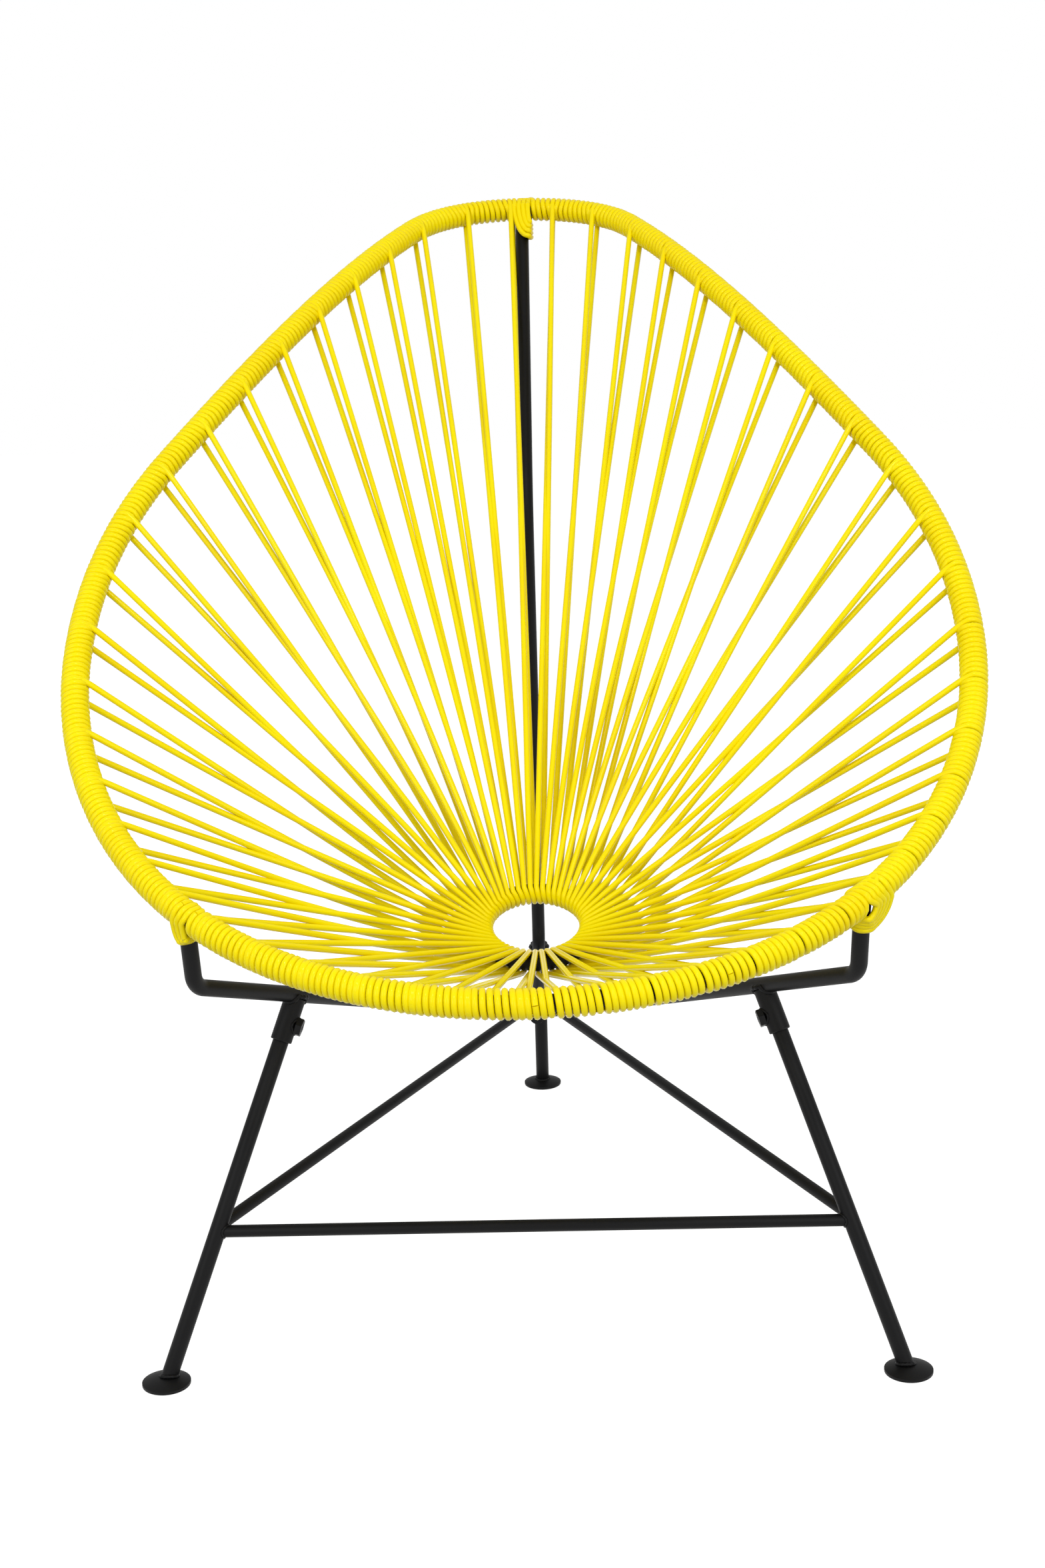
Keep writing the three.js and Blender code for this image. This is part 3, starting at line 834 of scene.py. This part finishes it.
# %% Stretcher and brace
stretcher_height = 105 * MM
brace_front_height = 109 * MM
brace_nose_height = 91 * MM
brace_off_leg = 0.3 * MM
nose_bend_radius = 14 * MM
left_leg, right_leg, rear_leg = legs
stretcher_ends = [leg.at_height(stretcher_height) for leg in (left_leg, right_leg)]
stretcher = swept_tube("stretcher", straight(*stretcher_ends), rod_radius)
put("stretcher", stretcher, frame_black, "frame_steel", "front_stretcher")

brace_left, brace_right = (leg.at_height(brace_front_height) for leg in (left_leg, right_leg))
nose_front = rear_leg.at_height(brace_nose_height)
nose_front.y -= tube_radius + rod_radius + brace_off_leg
half_angle = math.atan2(brace_right.x, nose_front.y - brace_right.y)
brace_corner = nose_front + Vector((0, nose_bend_radius * (1 / math.sin(half_angle) - 1), 0))
brace_route = bent_route([brace_left, brace_corner, brace_right], [nose_bend_radius])
put("brace", swept_tube("brace", brace_route, rod_radius), frame_black, "frame_steel", "rear_brace")
print("the brace meets at", round(math.degrees(2 * half_angle)), "degrees")

# %% [markdown]
# Both rods are welded to the front legs, and the brace's nose to the rear leg. The nose only
# touches that leg, so its bead is an oval laid on the rod round the spot where they touch.

# %% Welds of the rods
nose_bead_out, nose_bead_up = 4.4 * MM, 3.9 * MM
nose_sag_share = 0.4
stretcher_middle = Vector((0, stretcher_ends[0].y, stretcher_ends[0].z))
for leg in (left_leg, right_leg):
    for rod, height, inner in (
        ("stretcher", stretcher_height, stretcher_middle),
        ("brace", brace_front_height, brace_corner),
    ):
        rod_way = (leg.at_height(height) - inner).normalized()
        seam = weld_points(inner, rod_way, rod_radius, leg.foot, leg.way, tube_radius)
        weld(f"weld_{rod}_{leg.name}", seam, rod_bead)


def nose_seam(steps=36):
    """The oval round the spot where the brace's nose touches the rear leg."""
    points = []
    for i in range(steps):
        angle = 2 * math.pi * i / steps
        out, up = nose_bead_out * math.cos(angle), nose_bead_up * math.sin(angle)
        back = rod_radius - math.sqrt(rod_radius**2 - up * up)
        points.append(nose_front + Vector((out, rod_radius - back * nose_sag_share, up)))
    return points


weld("weld_nose", nose_seam(), nose_bead)
print("the nose's bead has", len(nose_seam()), "points")

# %% [markdown]
# The ring in the seat is tipped up towards the back. The loops go round its inner side and
# lie packed edge to edge there, which is what fixes the ring's size: the cord's thickness,
# nipped a little, times the number of loops is about the way round. The ring is one circle
# of edges, spun a full turn.

# %% Ring in the seat
ring_middle = Vector((5, -101, 291)) * MM
ring_tilt = math.radians(22.4)
ring_up = Vector((0, -math.sin(ring_tilt), math.cos(ring_tilt)))
ring_back = Vector((0, math.cos(ring_tilt), math.sin(ring_tilt)))
low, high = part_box("seat_ring")
ring_radius = (high[0] - low[0]) / 2 - tube_radius
print(f"ring of {2 * ring_radius / MM:.1f} mm between centres")


def ring_mesh(section_sides=20, steps=96):
    bm = bmesh.new()
    turn = Matrix.Translation(ring_middle) @ Matrix.Rotation(ring_tilt, 4, "X")
    pose = turn @ Matrix.Translation((ring_radius, 0, 0)) @ Matrix.Rotation(math.pi / 2, 4, "X")
    bmesh.ops.create_circle(bm, segments=section_sides, radius=tube_radius, matrix=pose)
    edges = list(bm.edges)
    bmesh.ops.spin(
        bm, geom=edges, cent=ring_middle, axis=ring_up, angle=2 * math.pi, steps=steps, use_merge=True
    )
    return mesh_of(bm, "seat ring")


put("ring_in_seat", ring_mesh(), frame_black, "frame_steel", "seat_ring")

# %% [markdown]
# One cord makes the whole seat. It winds round the hoop some dozen turns, leaves it over the
# top, runs down to the ring, goes round the ring's inner side, comes back to the hoop's
# underside and winds on. So the winding is one helix, read by how far it has come round the
# hoop, and a loop is a detour that starts where the helix is tangent to the way down to the
# ring. The loops are even down the sides and close up towards the arms and the front. The
# whole pattern sits a little round to the right, as it was wound.

# %% Places of the loops
side_loops = 19
front_loops = 7
half_loops = side_loops + front_loops
even_loops = 12
pattern_shift = 10.5 * MM
first_place = 21.9 * MM
side_gap = 61.5 * MM
second_gap_share = 0.75
last_before_arm, first_past_arm, last_before_middle = 18 * MM, 22 * MM, 13 * MM
widest_front_share, front_closing_share = 1.13, 0.26


def loop_places(side):
    """Distances from the spine at which loops leave one half of the hoop."""
    shift = side * pattern_shift
    places = [first_place + shift, first_place + shift + side_gap * second_gap_share]
    while len(places) <= even_loops:
        places.append(places[-1] + side_gap)
    closing = side_loops - len(places)
    run = arm_distance - last_before_arm - places[-1]
    closing_step = (closing * side_gap - run) / (closing * (closing + 1) / 2)
    for i in range(1, closing + 1):
        places.append(places[-1] + side_gap - i * closing_step)
    place = arm_distance + first_past_arm
    mean_gap = (half_hoop - last_before_middle - shift - place) / (front_loops - 1)
    for i in range(front_loops):
        places.append(place)
        place += mean_gap * (widest_front_share - front_closing_share * i / (front_loops - 2))
    return places


right_places, left_places = loop_places(1), loop_places(-1)
loops = [(place, order, 1) for order, place in enumerate(right_places)]
left_orders = reversed(range(half_loops))
loops += [(2 * half_hoop - left_places[order], order, -1) for order in left_orders]
print(len(loops), "loops")

# %% [markdown]
# A loop has two straight runs and the turn round the ring between them. It leaves over the
# hoop, passes under the ring, comes up through the hole and goes back over the ring to the
# hoop's underside. So the two runs cross half way, side by side. Each run touches the hoop
# and the ring where its straight line is tangent to them.

# %% Loops to the ring
full_turn = 2 * math.pi
winding_reach = tube_radius + cord_radius
ring_reach = winding_reach + 0.05 * MM
ring_slant = 4.4 * MM
quarter_steps = 5


def loop_detour(way, order, side):
    """Where a loop leaves the hoop, and its points round the ring."""
    hoop_at = on_hoop(way)
    angle = math.pi / 2 - math.pi * (order + 0.5) / half_loops
    spoke = Vector((side * math.cos(angle), 0, 0)) + ring_back * math.sin(angle)
    ring_at = ring_middle + spoke * ring_radius
    ring_heading = ring_up.cross(spoke)
    ends = []
    for sign in (1, -1):
        run = (ring_at - hoop_at.point).normalized()
        for _ in range(3):
            over_hoop = run.cross(hoop_at.heading).normalized()
            over_ring = run.cross(ring_heading).normalized()
            over_hoop *= math.copysign(1, over_hoop.dot(hoop_at.up) * sign)
            over_ring *= math.copysign(1, over_ring.dot(ring_up) * -sign)
            leave = hoop_at.point + over_hoop * winding_reach
            run = (ring_at + over_ring * ring_reach - leave).normalized()
        ends.append((over_hoop, over_ring))
    (leave, ring_under), (_, ring_over) = ends
    inner = -spoke
    round_ring = []
    for i in range(2 * quarter_steps + 1):
        share = i / quarter_steps
        arm = ring_under.slerp(inner, share) if share < 1 else inner.slerp(ring_over, share - 1)
        slip = ring_heading * (share / 2 - 0.5) * ring_slant
        round_ring.append(ring_at + arm.normalized() * ring_reach + slip)
    leave_angle = math.atan2(leave.dot(hoop_at.up), leave.dot(hoop_at.out))
    return leave_angle % full_turn, round_ring


detours = [loop_detour(*loop) for loop in loops]
print("first loop leaves at", round(math.degrees(detours[0][0])), "degrees round the hoop")

# %% [markdown]
# The turns lie cord by cord. Between two loops there is a whole number of them and the part
# turn from one loop's return to the next one's leaving, so their pitch gives a little in each
# stretch. A loop's return comes back a little nearer to the spine than it left at the first
# loops, and further from it down the sides, where the runs part.

# %% The helix round the hoop
pitch = 2 * cord_radius
first_way = 15 * MM
first_return, return_growth = -2.5 * MM, 6 * MM


def turn_knots():
    """Angle of the helix against way round the hoop, at every loop's leaving and return."""
    knots = [(full_turn * first_way / pitch, first_way)]
    leaves = []
    for (way, order, side), (leave_angle, _) in zip(loops, detours):
        last_angle, last_way = knots[-1]
        even = last_angle + full_turn * (way - last_way) / pitch
        leave_at = leave_angle + full_turn * round((even - leave_angle) / full_turn)
        leaves.append(leave_at)
        apart = first_return + return_growth * min(order / even_loops, 1)
        knots += [(leave_at, way), (leave_at + math.pi, way + side * apart)]
    last_angle, last_way = knots[-1]
    end_way = first_way + 2 * half_hoop
    even = last_angle + full_turn * (end_way - last_way) / pitch - knots[0][0]
    knots.append((knots[0][0] + full_turn * round(even / full_turn), end_way))
    return knots, leaves


knots, leaves = turn_knots()
total_angle = knots[-1][0] - knots[0][0]
print(round(total_angle / full_turn), "turns")


def read_off(value, source, target):
    """Straight interpolation between the helix's knots, from angle to way or back."""
    for a, b in zip(knots, knots[1:]):
        if value <= b[source]:
            break
    share = (value - a[source]) / (b[source] - a[source])
    return a[target] + (b[target] - a[target]) * share


def way_at(angle):
    return read_off(angle, 0, 1)


def top_near(way):
    """The number of the turn whose top lies nearest to a way."""
    return round(read_off(way, 1, 0) / full_turn - 0.25)


# %% [markdown]
# A real winding isn't a perfect helix. Where a loop leaves, the inner side of the hoop lacks
# half a turn, and its neighbours spread to close the gap. Past an upright the turns are
# pushed along the hoop, most of all next to it and on the underside.

# %% Turns that give way
arm_ways = (arm_distance, 2 * half_hoop - arm_distance)
underside = math.radians(300)
pushed_by, pushed_within = 9 * MM, 50 * MM
spread_share = 1.2
loop_marks = [(leaves[-1] - total_angle, loops[-1][0] - 2 * half_hoop)]
loop_marks += [(leave_at, way) for leave_at, (way, _, _) in zip(leaves, loops)]
loop_marks.append((leaves[0] + total_angle, loops[0][0] + 2 * half_hoop))


def ease(share):
    share = min(max(share, 0), 1)
    return share * share * (3 - 2 * share)


def crowding(way, angle):
    """How far a turn moves along the hoop at this angle, to fill a gap or clear a branch."""
    shift = 0
    for (leave_at, start), (next_leave, end) in zip(loop_marks, loop_marks[1:]):
        if start <= way < end:
            share = (way - start) / (end - start)
            missing = (next_leave if share > 0.5 else leave_at) + math.radians(90)
            shift += pitch * ease(spread_share * math.cos(angle - missing)) * (share - 0.5)
    below = ease(math.cos(angle - underside))
    for arm_way in arm_ways:
        past = way - arm_way
        if below and 0 < past < pushed_within:
            shift += below * pushed_by * math.exp(-past / pushed_by)
    return shift


def helix_point(angle, reach=winding_reach, moved=True, ahead=0):
    """The cord's middle at this angle of the helix, moved along with its crowd or not."""
    way = way_at(angle) + ahead
    station = on_hoop(way + (crowding(way, angle) if moved else 0))
    return station.point + (station.out * math.cos(angle) + station.up * math.sin(angle)) * reach


pushed = crowding(arm_ways[0] + cord_radius, underside)
print(f"under the hoop the first turn past an arm moves {pushed / MM:.1f} mm")

# %% [markdown]
# Where a tube joins the hoop, a few turns are hooked round it: they come over the hoop on one
# side, cross in front of the tube's top and go round its other side, each a little higher
# than the last. So every joint is covered by a small fan of nested arcs. First the joint
# itself: it knows its own directions and can lay an arc across its tube.

# %% Joints under the winding
behind_tube = ((65, 0.97), (100, 0.86), (140, 0.7))


class Joint:
    """Where a tube meets the hoop from below: its middle, and its own directions there."""

    def __init__(self, way, branch_end, faces_out, passes):
        hoop_at = on_hoop(way)
        self.way = way
        self.passes = passes
        self.middle = hoop_at.point
        self.down = (branch_end - self.middle).normalized()
        self.ahead = (hoop_at.heading - self.down * hoop_at.heading.dot(self.down)).normalized()
        self.front = self.ahead.cross(self.down)
        self.front *= math.copysign(1, self.front.dot(hoop_at.out) * faces_out)
        self.faces_out = faces_out

    def on_tube(self, around, drop):
        """A point on the tube's skin, turned from its front towards the side that cords pass."""
        turned = self.front * math.cos(around) + self.ahead * self.passes * math.sin(around)
        return self.middle + self.down * drop + turned * winding_reach

    def arc(self, start, drop, lowest, lift, steps=6):
        """From the hoop's front side down across the tube and round behind it."""
        skin = self.middle + self.front * (winding_reach + lift)
        points = []
        for i in range(steps + 1):
            angle = math.pi / 2 * i / steps
            ahead = lowest - (lowest - start) * math.cos(angle)
            points.append(skin + self.ahead * ahead + self.down * drop * math.sin(angle))
        for around, drop_share in behind_tube:
            points.append(self.on_tube(math.radians(around), drop * drop_share))
        return points


right_joint = Joint(arm_ways[0], arm_corners(1)[1], 1, 1)
left_joint = Joint(arm_ways[1], arm_corners(-1)[1], 1, -1)
spine_joint = Joint(2 * half_hoop, spine_knee, -1, 1)
print("arm joints at", [round(way, 3) for way in arm_ways], "round the hoop")

# %% [markdown]
# Each fan is a short list of turns, chosen so that their arcs nest. A hooked turn is given by a
# handful of points: some on the helix before the joint, the arc across the tube, and some on the
# helix after it. A smooth curve through them is then read at even steps.

# %% Hooked turns
lift_per_turn = 0.35 * MM
quarter = 0.25

# Each hooked turn: its top, where it starts down, how low it goes, where it is lowest, in mm
right_fan = [(-20, -21, 20, 2), (-15, -16, 16.5, 2), (-10, -11.5, 13.5, 3), (-5, -7, 11, 4)]
right_fan.append((0, -3, 9.5, 5))
left_fan = [(-10, -7, 13.5, -10), (-5, -2, 15, -7), (0, 2.5, 17, -4)]
spine_fan = [(-8, -7.5, 36, 6.5), (-3, -3, 30.5, 7), (2, 1.5, 25.5, 7.5), (7, 6, 20.5, 8)]
fans = ((right_joint, right_fan), (left_joint, left_fan), (spine_joint, spine_fan))

# Points before and after the arc: degrees round the hoop from its outer side, and how much of
# the way over to the tube's side the turn has gone there
upright_before, upright_after = ((165, 0.25), (200, 0.5), (235, 0.8)), ((40, 0), (65, 0))
spine_before = ((90, 0), (125, 0), (150, 0))
spine_after = ((315, 0.8), (350, 0.9), (385, 0.95), (415, 0.98))
past_last_top = (0, 40)


def through(a, b, c, d, t):
    """A point between b and c on the smooth curve through all four."""
    bend = a * 2 - b * 5 + c * 4 - d
    return (b * 2 + (c - a) * t + bend * t * t + (b * 3 - a - c * 3 + d) * t**3) * 0.5


def spread(points, step=1.2 * MM):
    """A smooth cord through the points, read at even steps."""
    chain = [points[0]]
    padded = [points[0] * 2 - points[1], *points, points[-1] * 2 - points[-2]]
    for a, b, c, d in zip(padded, padded[1:], padded[2:], padded[3:]):
        count = max(2, round((c - b).length / step))
        chain += [through(a, b, c, d, i / count) for i in range(1, count + 1)]
    return chain


def hooked_turn(joint, top, start, drop, lowest, lift):
    """One whole turn, from the top of the hoop to its top again, that hooks round the tube."""
    arc = joint.arc(start, drop, lowest, lift)
    top_angle = (top + quarter) * full_turn
    top_way = way_at(top_angle)
    side_way = joint.way + joint.passes * winding_reach

    def beside(degrees, share, reach=winding_reach + lift):
        ahead = (side_way - top_way) * share
        angle = top_angle + math.radians(degrees - 90)
        return helix_point(angle, reach, False, top_way + ahead - way_at(angle))

    if joint.faces_out > 0:
        last_top = top_angle - full_turn
        before = [helix_point(last_top + math.radians(a), moved=False) for a in past_last_top]
        before += [beside(a - 360, share) for a, share in upright_before]
        return before + arc[::-1] + [beside(a, share) for a, share in upright_after]
    before = [beside(a, share, winding_reach) for a, share in spine_before]
    return before + arc + [beside(a, share) for a, share in spine_after]


def hooked_turns():
    """For each hooked turn, by the number of the top at which it begins, its smooth points."""
    turns = {}
    for joint, fan in fans:
        first = top_near(joint.way + fan[0][0] * MM)
        for i, (_, start, drop, lowest) in enumerate(fan):
            arc_sizes = (start * MM, drop * MM, lowest * MM, lift_per_turn * i)
            points = hooked_turn(joint, first + i, *arc_sizes)
            begins = first + i - 1 if joint.faces_out > 0 else first + i
            end = helix_point((begins + 1 + quarter) * full_turn)
            turns[begins] = (joint, spread([*points, end])[:-1])
    return turns


special_turns = hooked_turns()
print("hooked turns", sorted(special_turns))

# %% [markdown]
# Now the cord is laid from end to end, as it was wound: turns, a detour to the ring, turns
# again. The laying keeps the cord's radius at every point, because it is nipped a little where
# it goes round the ring, and it marks where each loop and each hooked turn lies.

# %% Laying the cord
steps_per_turn = 18
loop_bend = math.radians(30)
loop_away = 11 * MM
nipped_radius = cord_radius * 0.92
run_down, run_up = (0.12, 0.5, 0.94), (0.06, 0.5, 0.88)
angle_slack = 0.01


def rounded(start, corner, end, steps=7):
    """A bend from start to end that leans on the corner."""
    shares = [i / steps for i in range(steps + 1)]
    return [start * (1 - t) ** 2 + corner * 2 * t * (1 - t) + end * t * t for t in shares]


class Cord:
    """The cord as it is laid: its points, its radius at each, and marks along it."""

    def __init__(self):
        self.points, self.radii, self.marks, self.joints = [], [], [], []

    def lay(self, points, radius):
        self.points += points
        self.radii += [radius] * len(points)

    def wind(self, start, end):
        """Turns from one angle to another, hooked round a tube where one is in the way."""
        angle = start
        while angle < end - angle_slack:
            top = math.floor((angle + angle_slack) / full_turn - quarter)
            begins = (top + quarter) * full_turn
            if top in special_turns and angle - begins < angle_slack:
                joint, points = special_turns[top]
                self.joints.append((joint, len(self.points), len(self.points) + len(points)))
                self.lay(points, cord_radius)
                angle = begins + full_turn
                continue
            stop = min(end, begins + full_turn)
            count = max(1, round((stop - angle) / full_turn * steps_per_turn))
            for i in range(count):
                here = angle + (stop - angle) * i / count
                self.lay([helix_point(here)], cord_radius)
            angle = stop

    def detour(self, leave_at, round_ring):
        """Off the hoop, down to the ring, round it and back, by half a turn further on."""
        there = leave_at + math.pi
        leave_point, back_point = (helix_point(a, moved=False) for a in (leave_at, there))
        down = (round_ring[0] - leave_point).normalized() * loop_away
        up = (round_ring[-1] - back_point).normalized() * loop_away
        start, end = helix_point(leave_at - loop_bend), helix_point(there + loop_bend)
        self.lay(rounded(start, leave_point, leave_point + down), cord_radius)
        self.lay([leave_point.lerp(round_ring[0], share) for share in run_down], cord_radius)
        self.lay(round_ring, nipped_radius)
        self.lay([round_ring[-1].lerp(back_point, share) for share in run_up], cord_radius)
        self.lay(rounded(back_point + up, back_point, end), cord_radius)
        return there + loop_bend + full_turn / steps_per_turn


def lay_cord():
    cord = Cord()
    angle = knots[0][0]
    for leave_at, (_, round_ring) in zip(leaves, detours):
        cord.wind(angle, leave_at - loop_bend)
        first = len(cord.points)
        angle = cord.detour(leave_at, round_ring)
        cord.marks.append((first, len(cord.points) - 1))
    cord.wind(angle, knots[-1][0])
    return cord


cord = lay_cord()
cord_length = sum((b - a).length for a, b in zip(cord.points, cord.points[1:]))
print(f"{len(cord.points)} points along {cord_length:.1f} m of cord")

# %% [markdown]
# One mesh of the whole cord would be heavy, so it is cut where the CAD cuts it: half way
# between loops, into bays that hold as many loops as the CAD's. The hooked turns at each joint
# are a piece of their own, because they stand in for no solid.

# %% The cord, bay by bay
bay_loops = [4, 3, 2, 2, 4, 4, 3, 4]
bay_numbers = range(1, len(bay_loops) + 1)
bay_names = [f"right_{i}" for i in bay_numbers] + [f"left_{i}" for i in reversed(bay_numbers)]


def bay_cuts():
    """Where each bay of the cord starts and ends, with the hooked turns at a joint left out."""
    spans = {joint: [math.inf, 0] for joint, _, _ in cord.joints}
    for joint, start, end in cord.joints:
        spans[joint] = [min(spans[joint][0], start), max(spans[joint][1], end)]
    cuts, loop, start = [], 0, 0
    for count in (bay_loops + bay_loops[::-1])[:-1]:
        loop += count
        (_, before), (after, _) = cord.marks[loop - 1], cord.marks[loop]
        held = [span for span in spans.values() if before < span[0] < after]
        middle = (before + after) // 2
        end, next_start = held[0] if held else (middle, middle)
        cuts.append((start, end))
        start = next_start
    spine_start, _ = spans[spine_joint]
    cuts.append((start, spine_start))
    spans[spine_joint][1] = len(cord.points) - 1
    return cuts, spans


def cord_piece(name, start, end, *stands_for):
    points, radii = cord.points[start:end + 1], cord.radii[start:end + 1]
    return put(name, cord_mesh(name, points, radii), cord_yellow, "vinyl_cord", *stands_for)


bays, joint_spans = bay_cuts()
for name, (start, end) in zip(bay_names, bays):
    cord_piece(f"cord_{name}", start, end, f"seat_cord_{name}")
for name, joint in (("right", right_joint), ("left", left_joint), ("spine", spine_joint)):
    cord_piece(f"cord_joint_{name}", *joint_spans[joint])
cord_objects = [piece for piece in bpy.data.objects if piece.name.startswith("cord_")]
print("cord faces", sum(len(piece.data.polygons) for piece in cord_objects))

# %% [markdown]
# Every cord has an end. Here it is tucked into the slit beside the left upright, where it
# shows as a small rounded tip. It is a short stretch of cord whose radius closes to a dome.

# %% The tucked end
tuck_reach = 8 * MM
tuck_turned = math.radians(352)
tuck_places = (6, 4, 3, 2.2, 1.8)
tuck_shares = (1, 1, 0.95, 0.7, 0.2)
tuck_angle = top_near(left_joint.way) * full_turn + tuck_turned
to_joint = left_joint.way - way_at(tuck_angle)
tuck = [helix_point(tuck_angle, tuck_reach, False, to_joint + v * MM) for v in tuck_places]
tuck_mesh = cord_mesh("tucked end", tuck, [cord_radius * share for share in tuck_shares])
put("cord_tucked_end", tuck_mesh, cord_yellow, "vinyl_cord")
print("tucked end", round((tuck[-1] - tuck[0]).length / MM, 1), "mm long")

# %% [markdown]
# The chair stands on a plain white floor. It is white to the camera by its own brightness, so
# the lamps can stay low and the floor still takes a faint shadow. To the chair the floor is
# an ordinary pale surface, which lights it from below.

# %% Floor
floor_reach = 8
floor_grey, shadow_grey, own_brightness = 0.45, 0.3, 0.86


def floor_finish():
    finish = Finish("floor")
    seen = finish.node("ShaderNodeLightPath", output="Is Camera Ray")
    seen = seen + finish.node("ShaderNodeLightPath", output="Is Transmission Ray")
    seen = seen.math("ADD", finish.node("ShaderNodeLightPath", output="Is Glossy Ray"), clamp=True)
    plain = finish.node("ShaderNodeBsdfDiffuse", inputs={"Color": grey(floor_grey)})
    shaded = finish.node("ShaderNodeBsdfDiffuse", inputs={"Color": grey(shadow_grey)})
    bright = finish.node("ShaderNodeEmission", inputs={"Color": grey(1), "Strength": own_brightness})
    white = finish.node("ShaderNodeAddShader", inputs={0: shaded, 1: bright})
    return finish.finish(finish.node("ShaderNodeMixShader", inputs={"Fac": seen, 1: plain, 2: white}))


def floor_piece():
    bm = bmesh.new()
    bmesh.ops.create_grid(bm, x_segments=1, y_segments=1, size=floor_reach)
    mesh = mesh_of(bm, "floor", None)
    mesh.materials.append(floor_finish())
    floor = bpy.data.objects.new("floor", mesh)
    bpy.context.scene.collection.objects.link(floor)
    return floor


print("floor material", floor_piece().data.materials[0].name)

# %% [markdown]
# The world is white too: full white to the camera, and dimmer as a light, so that yellow
# stays yellow. Two broad lamps stand at the sides in front. One small lamp stands high in
# front and gives the cord and the steel their tighter highlight.

# %% World and lamps
world_strength = 0.72
lamp_aim = Vector((0, 0, 0.5))


def white_world():
    sky = Finish("studio", bpy.data.worlds)
    seen = sky.node("ShaderNodeLightPath", output="Is Camera Ray")
    strength = seen * (1 - world_strength) + world_strength
    background = sky.node("ShaderNodeBackground", inputs={"Color": grey(1), "Strength": strength})
    bpy.context.scene.world = sky.finish(background, "ShaderNodeOutputWorld")


def area_light(name, place, size, power):
    lamp = bpy.data.lights.new(name, "AREA")
    lamp.shape = "DISK"
    lamp.size = size
    lamp.energy = power
    light = bpy.data.objects.new(name, lamp)
    towards = (lamp_aim - Vector(place)).to_track_quat("-Z", "Y")
    light.matrix_world = Matrix.Translation(Vector(place)) @ towards.to_matrix().to_4x4()
    bpy.context.scene.collection.objects.link(light)


white_world()
area_light("front_key", (0.1, -1.45, 2.1), size=0.22, power=9)
area_light("left_soft", (-1.6, -2.2, 1.3), size=1.6, power=17)
area_light("right_soft", (1.6, -2.2, 1.3), size=1.6, power=17)

# %% [markdown]
# At the end the colours are shown as they are written.

# %% Colour view
view = bpy.context.scene.view_settings
view.view_transform = "Standard"
